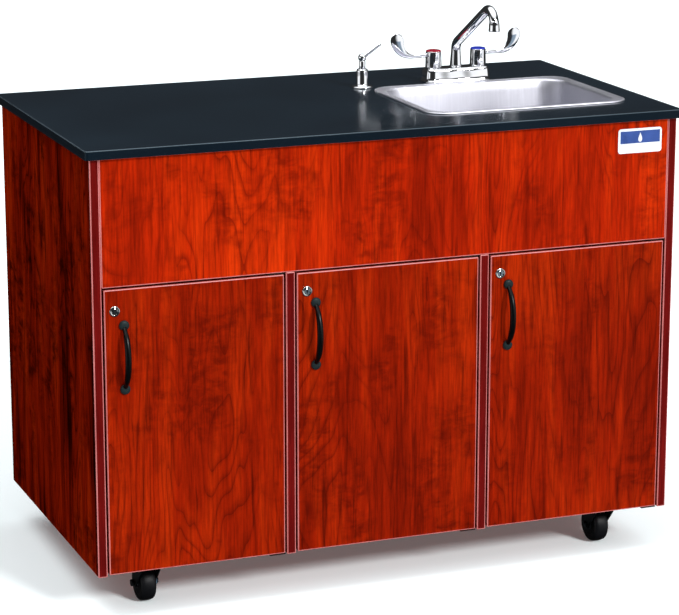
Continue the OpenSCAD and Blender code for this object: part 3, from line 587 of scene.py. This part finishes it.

# The left side wears the darker cherry, painted shade.
board("side_left", "side_panel_left", "cabinet", (-HALF, FRONT, BASE), (-HALF + BOARD, BACK, TOP),
      CHERRY_PAINTED_SHADE, red_front=True)
board("side_right", "side_panel_right", "cabinet", (HALF - BOARD, FRONT, BASE), (HALF, BACK, TOP), CHERRY[0],
      red_front=True)
board("apron", "apron_panel", "cabinet", (-HALF + BOARD, FRONT, APRON),
      (HALF - BOARD, FRONT + BOARD, TOP), CHERRY[APRON_LIT_BOARD])
board("back", "back_panel", "cabinet", (-HALF + BOARD, INNER_BACK, BASE),
      (HALF - BOARD, BACK, TOP), CHERRY[2])
board("bottom", "bottom_panel", "cabinet", (-HALF + BOARD, BAY, BASE),
      (HALF - BOARD, INNER_BACK, BASE + BOARD), CHERRY[3])
for side, (x, height) in zip(("left", "right"), DIVIDERS):
    outline = [(FRONT, BASE), (BAY, BASE), (BAY, BASE + BOARD), (INNER_BACK, BASE + BOARD),
               (INNER_BACK, BASE + height), (BAY, BASE + height), (BAY, APRON), (FRONT, APRON)]
    board(f"divider_{side}_board", f"divider_{side}", "cabinet", (x, 0, 0), (x + BOARD, 0, 0), CHERRY[4],
          outline=outline, red_front=True)
for k, (x0, x1) in enumerate(DOOR_X):
    board(f"door_{k + 1}_board", f"door_panel_{k + 1}", f"door_{k + 1}", (x0, FRONT, DOOR_Z[0]),
          (x1, FRONT + BOARD, DOOR_Z[1]), CHERRY[5 + k])

# ------------------------------------------------------------------ worktop


OVERHANG = 0.010
OPENING = (0.2085, 0.1540, 0.055)


def make_worktop():
    """The slab as a ring round the sink's opening, with eased edges. OPENING is half sizes and a radius."""
    outer_w = HALF + OVERHANG
    outer_d = (BACK - FRONT) / 2 + OVERHANG
    cy = (FRONT + BACK) / 2
    ease = 0.0016
    thick = WORK - TOP
    outer = [(0.0, 0.0), (0.0, thick - ease)]
    outer += [(ease * (1 - math.cos(a)), thick - ease + ease * math.sin(a))
              for a in [math.radians(90 * i / 5) for i in range(1, 6)]]
    bm = bmesh.new()
    loops = [rect_loop(0, cy, outer_w - inset, outer_d - inset, 0.007 - inset, TOP + z) for inset, z in outer]
    loops += [rect_loop(SINK.x, SINK.y, *OPENING, z) for z in (WORK, TOP)]
    rows = add_loops(bm, loops)
    count = len(rows[0])
    for i in range(count):
        j = (i + 1) % count
        bm.faces.new((rows[-1][i], rows[-1][j], rows[0][j], rows[0][i]))
    for face in bm.faces:
        face.normal_update()
        middle = face.calc_center_median()
        # Upright faces take the darker laminate copy, painted shade.
        if abs(face.normal.z) < 0.05:
            face.material_index = 1
        # Eased top edges take the lighter laminate copy, a painted highlight.
        elif abs(face.normal.z) < 0.995 and middle.z > TOP + 0.005:
            face.material_index = 2
    finish_piece("worktop_slab", mesh_from("worktop_slab", bm), "cabinet", [SLATE, SLATE_SIDE_SHADED, SLATE_EDGE_HIGHLIGHT],
                 "worktop", smooth=False)


make_worktop()

# ------------------------------------------------------------------ sink bowl


def make_bowl():
    """A deep drawn bowl: half width, half depth, corner radius and height, from the rim to the drain."""
    levels = [
        (0.2265, 0.1720, 0.044, 0.0002), (0.2268, 0.1723, 0.044, 0.0014), (0.2258, 0.1713, 0.043, 0.0027),
        (0.2240, 0.1695, 0.042, 0.0034), (0.2220, 0.1675, 0.041, 0.0032), (0.2203, 0.1658, 0.041, 0.0025),
        (0.2165, 0.1620, 0.044, 0.0020), (0.2120, 0.1575, 0.048, 0.0019), (0.2097, 0.1552, 0.051, 0.0014),
        (0.2080, 0.1535, 0.053, 0.0000), (0.2068, 0.1523, 0.054, -0.0040), (0.2050, 0.1505, 0.054, -0.0200),
        (0.2015, 0.1470, 0.054, -0.0600), (0.1978, 0.1433, 0.053, -0.1100), (0.1948, 0.1403, 0.053, -0.1380),
        (0.1915, 0.1370, 0.053, -0.1500), (0.1860, 0.1315, 0.051, -0.1595), (0.1780, 0.1235, 0.048, -0.1655),
        (0.1680, 0.1135, 0.044, -0.1682), (0.1300, 0.0860, 0.040, -0.1690), (0.0850, 0.0650, 0.045, -0.1696),
        (0.0460, 0.0440, 0.043, -0.1698), (0.0225, 0.0225, 0.0225, -0.1702),
    ]
    bm = bmesh.new()
    loops = []
    for half_w, half_d, radius, z in levels:
        loop = rect_loop(SINK.x, SINK.y, half_w, half_d, radius, WORK + z)
        loops.append(spread_loop(loop))
    add_loops(bm, loops)
    mesh = bpy.data.meshes.new("bowl")
    bm.to_mesh(mesh)
    bm.free()
    bowl = finish_piece("bowl", mesh, "cabinet", [STEEL], "sink_bowl")
    shell = bowl.modifiers.new("sheet", "SOLIDIFY")
    shell.thickness = 0.0012
    shell.offset = -1


make_bowl()

# ------------------------------------------------------------------ faucet


def at_faucet(x, y, z):
    return FAUCET + Vector((x, y, z))


CAST_WAVE = 0.00045
CASTING_TOP = 0.0306
HANDLE_OUT = 0.0525
HUB_TOP = 0.067
SPOUT_REACH = 0.200
SPOUT_PEAK = 0.176


def make_faucet_body():
    """The cast base; its front is very slightly wavy, as polished castings are."""
    bm = bmesh.new()
    levels = [
        (0.0765, 0.0275, 0.0160, 0.0), (0.0770, 0.0280, 0.0165, 0.0012), (0.0768, 0.0278, 0.0165, 0.0030),
        (0.0750, 0.0262, 0.0160, 0.0050), (0.0742, 0.0254, 0.0156, 0.0120), (0.0734, 0.0247, 0.0152, 0.0200),
        (0.0727, 0.0240, 0.0148, 0.0255), (0.0716, 0.0229, 0.0140, 0.0283), (0.0698, 0.0211, 0.0128, 0.0298),
        (0.0672, 0.0185, 0.0110, 0.0304), (0.0500, 0.0120, 0.0080, 0.0305),
    ]
    loops = []
    for half_w, half_d, radius, z in levels:
        loop = spread_loop(rect_loop(FAUCET.x, FAUCET.y, half_w, half_d, radius, WORK + z), 28)
        for p in loop:
            if p.y < FAUCET.y:
                across = (p.x - FAUCET.x) / half_w
                fade = (1 - across ** 4) * math.sin(math.pi * min(1, max(0, (z - 0.004) / 0.024)))
                p.y += CAST_WAVE * fade * math.sin(120 * (p.x - FAUCET.x) + 70 * z)
        loops.append(loop)
    add_loops(bm, loops, True, True)
    finish_piece("faucet_base", mesh_from("faucet_base", bm), "cabinet", [CHROME], "faucet_body")


def spout_path():
    """The tube's centre line, from the base up, over the crown and down to the outlet."""
    rise = math.radians(30)
    low_r = 0.024
    high_r = 0.028
    low_turn = math.pi / 2 - rise
    run = (SPOUT_REACH - low_r * (1 - math.cos(low_turn)) - high_r * (1 + math.sin(rise))) / math.cos(rise)
    bend_z = SPOUT_PEAK - high_r * (1 - math.cos(rise)) - run * math.sin(rise) - low_r * math.sin(low_turn)
    path = [at_faucet(0, 0, CASTING_TOP + (bend_z - CASTING_TOP) * i / 10) for i in range(11)]
    for i in range(1, 13):
        a = low_turn * i / 12
        path.append(at_faucet(0, -low_r * (1 - math.cos(a)), bend_z + low_r * math.sin(a)))
    start = path[-1]
    for i in range(1, 17):
        d = run * i / 16
        path.append(start + Vector((0, -d * math.cos(rise), d * math.sin(rise))))
    end = path[-1]
    centre = end + Vector((0, -high_r * math.sin(rise), -high_r * math.cos(rise)))
    for i in range(1, 19):
        a = low_turn + (math.pi - low_turn) * i / 18
        path.append(centre + high_r * Vector((0, math.cos(a), math.sin(a))))
    return path


def make_spout():
    bm = bmesh.new()
    path = spout_path()
    radii = []
    for i in range(len(path)):
        if i <= 10:
            t = i / 10
            radii.append(0.0134 - 0.0030 * t ** 0.85)
        else:
            radii.append(0.0104 - 0.0004 * (i - 10) / (len(path) - 11))
    add_tube(bm, path, radii, 40)
    outlet = Matrix.Translation(at_faucet(0, -SPOUT_REACH, 0))

    def grip(a, h):
        return 1 + (0.012 * math.cos(14 * a) if 0.137 < h < 0.1515 else 0)

    add_lathe(bm, [(0.0090, 0.1565), (0.0098, 0.1563), (0.0105, 0.1555), (0.0107, 0.1540), (0.0105, 0.1528),
                   (0.0105, 0.1520), (0.0109, 0.1512), (0.0116, 0.1400), (0.0120, 0.1360), (0.0120, 0.1346),
                   (0.0115, 0.1340), (0.0092, 0.1340), (0.0090, 0.1346), (0.0090, 0.1420), (0, 0.1421)],
              outlet, 56, ripple=grip)
    add_lathe(bm, [(0.0134, CASTING_TOP), (0.0138, 0.0312), (0.0138, 0.0322), (0.0132, 0.0330),
                   (0.0120, 0.0332)],
              Matrix.Translation(FAUCET), 48)
    finish_piece("spout_tube", mesh_from("spout_tube", bm), "spout", [CHROME], "spout")


def blade_stations():
    """(x, z, half width, half thickness) along a blade's centre line, outwards from the hub."""
    arm = [
        (0.010, 0.0587, 0.0046, 0.0046), (0.022, 0.0585, 0.0046, 0.0044), (0.034, 0.0583, 0.0046, 0.0042),
        (0.045, 0.0583, 0.0049, 0.0040), (0.054, 0.0589, 0.0056, 0.0038), (0.0625, 0.0609, 0.0068, 0.0036),
        (0.0695, 0.0647, 0.0084, 0.0035), (0.0750, 0.0697, 0.0102, 0.0034), (0.0792, 0.0755, 0.0120, 0.0034),
        (0.0822, 0.0815, 0.0136, 0.0034), (0.0842, 0.0875, 0.0148, 0.0034), (0.0853, 0.0930, 0.0154, 0.0034),
    ]
    tip = []
    for i in range(1, 9):
        a = math.radians(90 * i / 8)
        half_t = 0.0034 * (1 - 0.55 * math.sin(a)) * (1 if i < 8 else 0.1)
        tip.append((0.0856, 0.0930 + 0.0160 * math.sin(a), 0.0155 * math.cos(a) + 0.0001, half_t))
    return arm + tip


def make_handle(side, node, body):
    bm = bmesh.new()
    place = Matrix.Translation(at_faucet(side * HANDLE_OUT, 0, 0))

    def flutes(a, h):
        return 1 + (0.014 * math.cos(10 * a) if 0.034 < h < 0.063 else 0)

    hub = [(0.0160, CASTING_TOP), (0.0178, 0.0310), (0.0180, 0.0330), (0.0178, 0.0345), (0.0176, 0.0430),
           (0.0173, 0.0530), (0.0170, 0.0625), (0.0169, 0.0650), (0.0165, 0.0664), (0.0157, HUB_TOP),
           (0, HUB_TOP)]
    add_lathe(bm, hub, place, 80, ripple=flutes)
    points = [at_faucet(side * (HANDLE_OUT + x), 0, z) for x, z, _, _ in blade_stations()]
    loops = []
    count = 28
    flow = frames_along(points)
    for p, (t, _, _), (_, _, half_w, half_t) in zip(points, flow, blade_stations()):
        across = Vector((0, 1, 0)).cross(t).normalized()
        loop = []
        for k in range(count):
            a = 2 * math.pi * k / count
            c, s = math.cos(a), math.sin(a)
            cup = 0.0006 * (half_w / 0.0155) * (1 - c * c)
            loop.append(p + across * half_w * c + Vector((0, half_t * s + cup, 0)))
        loops.append(loop)
    add_loops(bm, loops, True, True)
    name = node + "_blade"
    finish_piece(name, mesh_from(name, bm), body, [CHROME], node)


def make_index(side, node, body, material):
    bm = bmesh.new()
    place = Matrix.Translation(at_faucet(side * HANDLE_OUT, 0, HUB_TOP))
    add_lathe(bm, [(0.0160, -0.0012), (0.0164, -0.0002), (0.0161, 0.0010), (0.0150, 0.0020), (0.0120, 0.0027),
                   (0.0080, 0.0031), (0.0072, 0.0030), (0.0068, 0.0026), (0, 0.0027)], place, 56)
    name = node + "_cap"
    finish_piece(name, mesh_from(name, bm), body, [material], node)


make_faucet_body()
make_spout()
make_handle(-1, "hot_handle", "hot_handle")
make_handle(1, "cold_handle", "cold_handle")
make_index(-1, "hot_index", "hot_handle", RED)
make_index(1, "cold_index", "cold_handle", BLUE)

# ------------------------------------------------------------------ soap pump


def make_soap():
    """The collar, its nut, the plunger, the head with its nozzle, and the bottle."""
    up = Matrix.Translation(SOAP)
    bm = bmesh.new()
    add_lathe(bm, [(0.0110, -0.042), (0.0110, 0.0), (0.0228, 0.0), (0.0235, 0.0008), (0.0234, 0.0022),
                   (0.0222, 0.0036), (0.0200, 0.0046), (0.0150, 0.0054), (0.0132, 0.0062), (0.0126, 0.0080),
                   (0.0125, 0.0340), (0.0122, 0.0378), (0.0112, 0.0396), (0.0098, 0.0402), (0.0078, 0.0402),
                   (0.0076, 0.0390), (0.0076, 0.0060)], up, 56)
    finish_piece("soap_shell", mesh_from("soap_shell", bm), "cabinet", [CHROME], "soap_collar")
    bm = bmesh.new()
    bmesh.ops.create_cone(bm, cap_ends=True, segments=6, radius1=0.021, radius2=0.021, depth=0.009,
                          matrix=up @ Matrix.Translation((0, 0, -0.0226)))
    nut = finish_piece("soap_nut", mesh_from("soap_nut", bm), "cabinet", [PLASTIC],
                       smooth=False)
    bevel_modifier(nut, 0.001)
    bm = bmesh.new()
    add_lathe(bm, [(0, 0.0210), (0.0066, 0.0212), (0.0070, 0.0220), (0.0070, 0.0560), (0.0066, 0.0572),
                   (0.0030, 0.0580), (0.0030, 0.0640), (0, 0.0642)], up, 40)
    finish_piece("soap_rod", mesh_from("soap_rod", bm), "soap_pump", [CHROME], "soap_plunger")
    bm = bmesh.new()
    add_lathe(bm, [(0.0050, 0.0584), (0.0068, 0.0586), (0.0078, 0.0595), (0.0086, 0.0615), (0.0089, 0.0640),
                   (0.0086, 0.0668), (0.0077, 0.0694), (0.0062, 0.0712), (0.0040, 0.0724), (0, 0.0729)],
              up, 44)
    path = [SOAP + Vector((0.003 + 0.0385 * i / 12, 0, 0.0660 + 0.0260 * i / 12)) for i in range(13)]
    radii = [0.0042 - 0.0003 * min(1, i / 8) for i in range(12)] + [0.0036]
    add_tube(bm, path, radii, 24)
    finish_piece("soap_head", mesh_from("soap_head", bm), "soap_head", [CHROME], "soap_nozzle")
    bm = bmesh.new()
    bottle = [
        (0, -0.1900), (0.0300, -0.1900), (0.0332, -0.1885), (0.0340, -0.1850), (0.0340, -0.1420),
        (0.0332, -0.1400), (0.0332, -0.1180), (0.0340, -0.1160), (0.0340, -0.0800), (0.0330, -0.0745),
        (0.0290, -0.0700), (0.0200, -0.0640), (0.0155, -0.0600), (0.0150, -0.0560), (0.0158, -0.0550),
        (0.0158, -0.0460), (0.0150, -0.0450), (0.0120, -0.0440),
    ]
    add_lathe(bm, bottle, up, 56)
    finish_piece("soap_jar", mesh_from("soap_jar", bm), "cabinet", [BOTTLE], "soap_bottle")


make_soap()

# ------------------------------------------------------------------ pulls and locks


def make_pull(k):
    """Two round feet and an arched bar that swells towards its middle."""
    x = DOOR_X[k][0] + PULL_IN
    top = DOOR_Z[1] - PULL_DROP[k]
    middle = top - PULL_SPAN / 2
    bm = bmesh.new()
    steps = 36
    points = []
    radii = []
    for i in range(steps + 1):
        t = -1 + 2 * i / steps
        out = 0.0265 * (1 - abs(t) ** 2.3) ** 0.80 + 0.0005
        points.append(Vector((x, FRONT - out, middle + t * (PULL_SPAN / 2 - 0.0035))))
        neck = math.exp(-((abs(t) - 0.86) / 0.09) ** 2)
        radii.append(0.0051 + 0.0013 * math.cos(t * math.pi / 2) - 0.0008 * neck)
    add_tube(bm, points, radii, 24)
    for end in (-1, 1):
        z = middle + end * PULL_SPAN / 2
        place = Matrix.Translation((x, FRONT, z)) @ Matrix.Rotation(math.pi / 2, 4, "X")
        add_lathe(bm, [(0.0094, 0.0), (0.0100, 0.0006), (0.0102, 0.0022), (0.0099, 0.0038), (0.0090, 0.0050),
                       (0.0070, 0.0060), (0.0040, 0.0066), (0, 0.0068)], place, 40, 1)
        inner = Matrix.Translation((x, FRONT + BOARD, z)) @ Matrix.Rotation(-math.pi / 2, 4, "X")
        add_lathe(bm, [(0.0045, 0.0), (0.0044, 0.0008), (0.0034, 0.0018), (0.0016, 0.0019), (0.0014, 0.0010),
                       (0, 0.0010)], inner, 24, 2)
    name = f"pull_{k + 1}"
    finish_piece(name, mesh_from(name, bm), f"door_{k + 1}", [PULL_BLACK, PULL_FOOT, ZINC],
                 f"door_pull_{k + 1}")


def make_lock(k):
    """A round face with a stepped ring, and the plug with its key slot, wings and cam; the key slot is drawn
    as dark patches, painted shade.
    """
    x = DOOR_X[k][0] + LOCK_IN
    z = DOOR_Z[1] - LOCK_DROP[k]
    out = Matrix.Translation((x, FRONT, z)) @ Matrix.Rotation(math.pi / 2, 4, "X")
    bm = bmesh.new()
    add_lathe(bm, [(0.0102, 0.0), (0.0106, 0.0004), (0.0106, 0.0012), (0.0101, 0.0021), (0.0092, 0.0025),
                   (0.0078, 0.0023), (0.0070, 0.0018), (0.0066, 0.0019), (0.00615, 0.0022), (0.00605, 0.0016),
                   (0.00605, -0.0205)], out, 56)
    bmesh.ops.create_cone(bm, cap_ends=True, segments=6, radius1=0.012, radius2=0.0118, depth=0.002,
                          matrix=out @ Matrix.Translation((0, 0, -0.020)))
    name = f"lock_face_{k + 1}"
    finish_piece(name, mesh_from(name, bm), f"door_{k + 1}", [LOCK_CHROME], f"door_lock_{k + 1}")
    bm = bmesh.new()
    add_lathe(bm, [(0.0055, -0.0237), (0.0058, -0.0232), (0.0058, 0.0012), (0.0056, 0.0018), (0.0052, 0.0020),
                   (0, 0.0020)], out, 40)
    cam = [(-0.006, -0.006), (0.046, -0.006), (0.0525, -0.0035), (0.054, 0.0), (0.0525, 0.0035),
           (0.046, 0.006), (-0.006, 0.006)]
    low = [bm.verts.new(out @ Vector((u, v, -0.0237))) for u, v in cam]
    high = [bm.verts.new(out @ Vector((u, v, -0.0217))) for u, v in cam]
    bm.faces.new(low)
    bm.faces.new(list(reversed(high)))
    for i in range(len(cam)):
        j = (i + 1) % len(cam)
        bm.faces.new((low[i], high[i], high[j], low[j]))
    # The key slot is two dark patches laid on the plug face: painted shade where the hollow would be.
    slot_sizes = ((0.0012, 0.0040, 0.00215), (0.0021, 0.0012, 0.00222))
    for half_u, half_v, depth in slot_sizes:
        corners = [(-half_u, -half_v), (half_u, -half_v), (half_u, half_v), (-half_u, half_v)]
        face = bm.faces.new([bm.verts.new(out @ Vector((u, v, depth))) for u, v in corners])
        face.material_index = 1
        for p in bmesh.ops.extrude_face_region(bm, geom=[face])["geom"]:
            if isinstance(p, bmesh.types.BMVert):
                p.co += Vector((0, 0.0006, 0))
    name = f"lock_plug_{k + 1}"
    finish_piece(name, mesh_from(name, bm), f"lock_{k + 1}", [PLUG_CHROME, KEYWAY_SHADE], f"lock_core_{k + 1}",
                 smooth=False)


for k in range(3):
    make_pull(k)
    make_lock(k)

# ------------------------------------------------------------------ casters


def make_wheel(n):
    """A rounded rubber tyre on a dished hub."""
    x, y = CASTERS[n]
    place = Matrix.Translation((x, y + TRAIL, WHEEL_R)) @ Matrix.Rotation(math.pi / 2, 4, "Y")
    bm = bmesh.new()
    tread = [(0.0245, -0.0140), (0.0262, -0.0155), (0.0300, -0.0160), (0.0330, -0.0156), (0.0352, -0.0142),
             (0.0368, -0.0118), (0.0377, -0.0080), (0.0380, -0.0030), (0.0380, 0.0030), (0.0377, 0.0080),
             (0.0368, 0.0118), (0.0352, 0.0142), (0.0330, 0.0156), (0.0300, 0.0160), (0.0262, 0.0155),
             (0.0245, 0.0140)]
    add_lathe(bm, tread, place, 72, 0)
    for s in (-1, 1):
        disc = [(0.0262, s * 0.0135), (0.0252, s * 0.0146), (0.0236, s * 0.0142), (0.0226, s * 0.0112),
                (0.0150, s * 0.0104), (0.0132, s * 0.0118), (0.0120, s * 0.0160), (0.0106, s * 0.0174),
                (0.0060, s * 0.0175), (0.0042, s * 0.0172)]
        add_lathe(bm, disc, place, 56, 1)
    name = f"wheel_{n + 1}_tyre"
    finish_piece(name, mesh_from(name, bm), f"wheel_{n + 1}", [TYRE, HUB], f"caster_wheel_{n + 1}")


for n in range(4):
    make_wheel(n)

# ------------------------------------------------------------------ hoses


def inside(x, y, z):
    return Vector((x / 1000, FRONT + y / 1000, BASE + z / 1000))


def make_hoses():
    """Braided hoses from the tank through the pump and the heater to the faucet, with end ferrules."""
    bm = bmesh.new()
    runs = [
        [inside(110, 560, 461.3), inside(110, 560, 690), inside(291, 560, 690), inside(291, 489, 690),
         inside(291, 489, 790)],
        [inside(-110, 300, 140), inside(-110, 300, 720), inside(-110, 600, 720), inside(393, 600, 720),
         inside(393, 489, 720), inside(393, 489, 790)],
        [inside(-110, 303, 500), inside(-110, 520, 500), inside(0, 520, 500), inside(0, 520, 461.3)],
        [inside(-340, 300, 412.8), inside(-340, 300, 445), inside(-150, 300, 445), inside(-150, 300, 140)],
    ]
    for corners in runs:
        path = resampled(rounded_path(corners, 0.03), 0.012)
        add_tube(bm, path, [0.0068] * len(path), 20)
        for end, onward in ((path[0], path[1]), (path[-1], path[-2])):
            turn = (onward - end).to_track_quat("Z", "Y").to_matrix().to_4x4()
            add_lathe(bm, [(0.0070, 0.0), (0.0095, 0.0), (0.0097, 0.0010), (0.0097, 0.0140), (0.0086, 0.0152),
                           (0.0086, 0.0230), (0.0070, 0.0236)], Matrix.Translation(end) @ turn, 28, 1)
    finish_piece("water_hoses", mesh_from("water_hoses", bm), "cabinet", [BRAID, ZINC], "supply_hoses")


make_hoses()

# ------------------------------------------------------------------ badge


def make_badge():
    """A plain white plate with a blue band across its upper part and a white droplet on the band."""
    cx, cz = 0.541, BASE + 0.796
    bm = bmesh.new()
    loops = []
    for half_w, half_h, radius, out in ((0.0495, 0.0255, 0.006, 0.0), (0.0495, 0.0255, 0.006, 0.0009),
                                        (0.0488, 0.0248, 0.0054, 0.0014), (0.0460, 0.0220, 0.003, 0.0014)):
        loop = rect_loop(0, 0, half_w, half_h, radius, 0, 8)
        loops.append([Vector((cx + p.x, FRONT - out, cz + p.y)) for p in loop])
    add_loops(bm, loops, True, True)
    band = [(-0.045, 0.0205), (-0.045, -0.0050), (0.045, -0.0050), (0.045, 0.0205)]
    bm.faces.new([bm.verts.new((cx + x, FRONT - 0.0016, cz + z)) for x, z in band]).material_index = 1
    drop = []
    for i in range(48):
        a = 2 * math.pi * i / 48
        pinch = math.sin(a / 2) ** 1.6
        drop.append(bm.verts.new((cx + 0.0062 * math.sin(a) * pinch, FRONT - 0.0018,
                                  cz + 0.0073 + 0.0098 * math.cos(a))))
    bm.faces.new(drop).material_index = 0
    mesh = mesh_from("badge", bm)
    finish_piece("badge", mesh, "cabinet", [BADGE, BADGE_BLUE], "badge_plate", smooth=False)


make_badge()

# ------------------------------------------------------------------ carried-over CAD nodes

# Each node's material, its edges' material and how wide the edges are. A lighter edge material is a painted
# highlight along the bevelled edges.
PLAIN = {
    "top_rails": (CHERRY[8], BAND_HIGHLIGHT, 0.0010),
    "sink_strainer": (STRAINER_STEEL, STRAINER_STEEL, 0.0004),
    "drain_tailpiece": (CHROME, CHROME, 0.0006),
    "drain_hose": (RUBBER_HOSE, PLASTIC_HIGHLIGHT, 0.0010),
    "faucet_shanks": (BRASS, BRASS_HIGHLIGHT, 0.0006),
    "fresh_tank": (JUG_CLEAR, JUG_CLEAR, 0.0030),
    "fresh_cap": (CAP_BLUE, CAP_HIGHLIGHT, 0.0010),
    "waste_tank": (JUG_GREY, JUG_GREY, 0.0030),
    "water_pump": (PLASTIC, PLASTIC_HIGHLIGHT, 0.0015),
    "water_heater": (ENAMEL, ENAMEL, 0.0025),
    "heater_knob": (PLASTIC, PLASTIC_HIGHLIGHT, 0.0008),
    "power_inlet": (PLASTIC, PLASTIC_HIGHLIGHT, 0.0008),
    "switch_box": (PLASTIC, PLASTIC_HIGHLIGHT, 0.0008),
    "rocker_switch": (RED, RED, 0.0005),
    "rear_vent": (PLASTIC, PLASTIC_HIGHLIGHT, 0.0006),
    "pivot_brackets": (BRONZE, BRONZE, 0.0003),
    "caster_plates": (ZINC, ZINC_HIGHLIGHT, 0.0006),
    "brake_lever_1": (TAB_BLUE, TAB_HIGHLIGHT, 0.0006),
    "brake_lever_2": (TAB_BLUE, TAB_HIGHLIGHT, 0.0006),
}
for n in range(4):
    PLAIN[f"caster_fork_{n + 1}"] = (FORK, FORK_HIGHLIGHT, 0.0007)
for node, (material, edge, width) in PLAIN.items():
    part = nodes[node]
    part.data.materials.clear()
    part.data.materials.append(material)
    part.data.materials.append(edge)
    bevel_modifier(part, width, 2).material = 1

# ------------------------------------------------------------------ floor, light and world


FLOOR_GLOW = 0.10
LEFT_WINDOW = 1.10
RIGHT_WINDOW = 1.15


def make_floor():
    """A plain white floor that glossy surfaces don't mirror."""
    size = 60
    mesh = bpy.data.meshes.new("floor")
    corners = [(-size, -size, 0), (size, -size, 0), (size, size, 0), (-size, size, 0)]
    mesh.from_pydata(corners, [], [(0, 1, 2, 3)])
    floor = bpy.data.objects.new("floor", mesh)
    bpy.context.scene.collection.objects.link(floor)
    r = Recipe("floor_paint")
    cloud = r.noise(r.mapped((1, 1, 1)), 0.7, 2.0)
    r.colour(r.ramp(cloud, [(0.3, (0.85, 0.93, 0.94)), (0.7, (0.87, 0.95, 0.96))]))
    r.fixed(Roughness=0.9, Specular_IOR_Level=0.0, Emission_Color=(1, 1, 1, 1), Emission_Strength=FLOOR_GLOW)
    mesh.materials.append(r.material)
    floor.visible_glossy = False


def sun(name, toward, strength, spread):
    """A wide soft sun; toward is where its light goes."""
    data = bpy.data.lights.new(name, "SUN")
    data.energy = strength
    data.angle = math.radians(spread)
    light = bpy.data.objects.new(name, data)
    bpy.context.scene.collection.objects.link(light)
    light.rotation_euler = Vector(toward).to_track_quat("-Z", "Y").to_euler()


def studio_world():
    """A dark room with a wide ceiling light and a tall soft window on either side of the object."""
    world = bpy.data.worlds.new("studio")
    bpy.context.scene.world = world
    world.use_nodes = True
    tree = world.node_tree

    def node(kind, **settings):
        made = tree.nodes.new(kind)
        for key, value in settings.items():
            setattr(made, key, value)
        return made

    def joined(operation, a, b):
        made = node("ShaderNodeMath", operation=operation)
        for socket, value in zip(made.inputs, (a, b)):
            if isinstance(value, (int, float)):
                socket.default_value = value
            else:
                tree.links.new(value, socket)
        return made.outputs[0]

    def step(value, low, high):
        made = node("ShaderNodeMapRange", interpolation_type="SMOOTHSTEP")
        made.inputs["From Min"].default_value = low
        made.inputs["From Max"].default_value = high
        tree.links.new(value, made.inputs["Value"])
        return made.outputs["Result"]

    def between(value, low, high, soft):
        return joined("MULTIPLY", step(value, low - soft, low + soft), step(value, high + soft, high - soft))

    def product(*values):
        result = values[0]
        for value in values[1:]:
            result = joined("MULTIPLY", result, value)
        return result

    split = node("ShaderNodeSeparateXYZ")
    tree.links.new(node("ShaderNodeTexCoord").outputs["Generated"], split.inputs["Vector"])
    x, y, z = split.outputs
    lean = math.radians(21)
    front = joined("ADD", joined("MULTIPLY", x, -math.sin(lean)), joined("MULTIPLY", y, -math.cos(lean)))
    side = joined("ADD", joined("MULTIPLY", x, math.cos(lean)), joined("MULTIPLY", y, -math.sin(lean)))
    bearing = joined("MULTIPLY", joined("ARCTAN2", side, front), 180 / math.pi)
    ceiling = product(step(z, 0.50, 0.72), step(y, 0.72, 0.52), 1.35)
    wall = between(z, -0.30, 0.22, 0.04)
    left = product(between(bearing, -98, -44, 4), wall, LEFT_WINDOW)
    right = product(between(bearing, 41, 98, 4), wall, RIGHT_WINDOW)
    card = product(between(bearing, 34, 52, 3), step(z, -0.02, -0.08))
    right = product(right, joined("SUBTRACT", 1.0, joined("MULTIPLY", card, 0.62)))
    lights = joined("MAXIMUM", joined("MAXIMUM", left, right), ceiling)
    background = tree.nodes["Background"]
    tree.links.new(joined("ADD", lights, 0.03), background.inputs["Strength"])
    tint = node("ShaderNodeMix", data_type="RGBA")
    tint.inputs[6].default_value = (0.97, 0.98, 1.0, 1)
    tint.inputs[7].default_value = (0.62, 0.80, 1.0, 1)
    tree.links.new(card, tint.inputs[0])
    tree.links.new(tint.outputs[2], background.inputs["Color"])


make_floor()
sun("key", (-0.32, 0.82, -0.52), 3.0, 12)
sun("side", (0.34, 0.04, -0.94), 0.9, 24)
studio_world()

bpy.context.scene.view_settings.view_transform = "Standard"
bpy.context.scene.view_settings.look = "None"
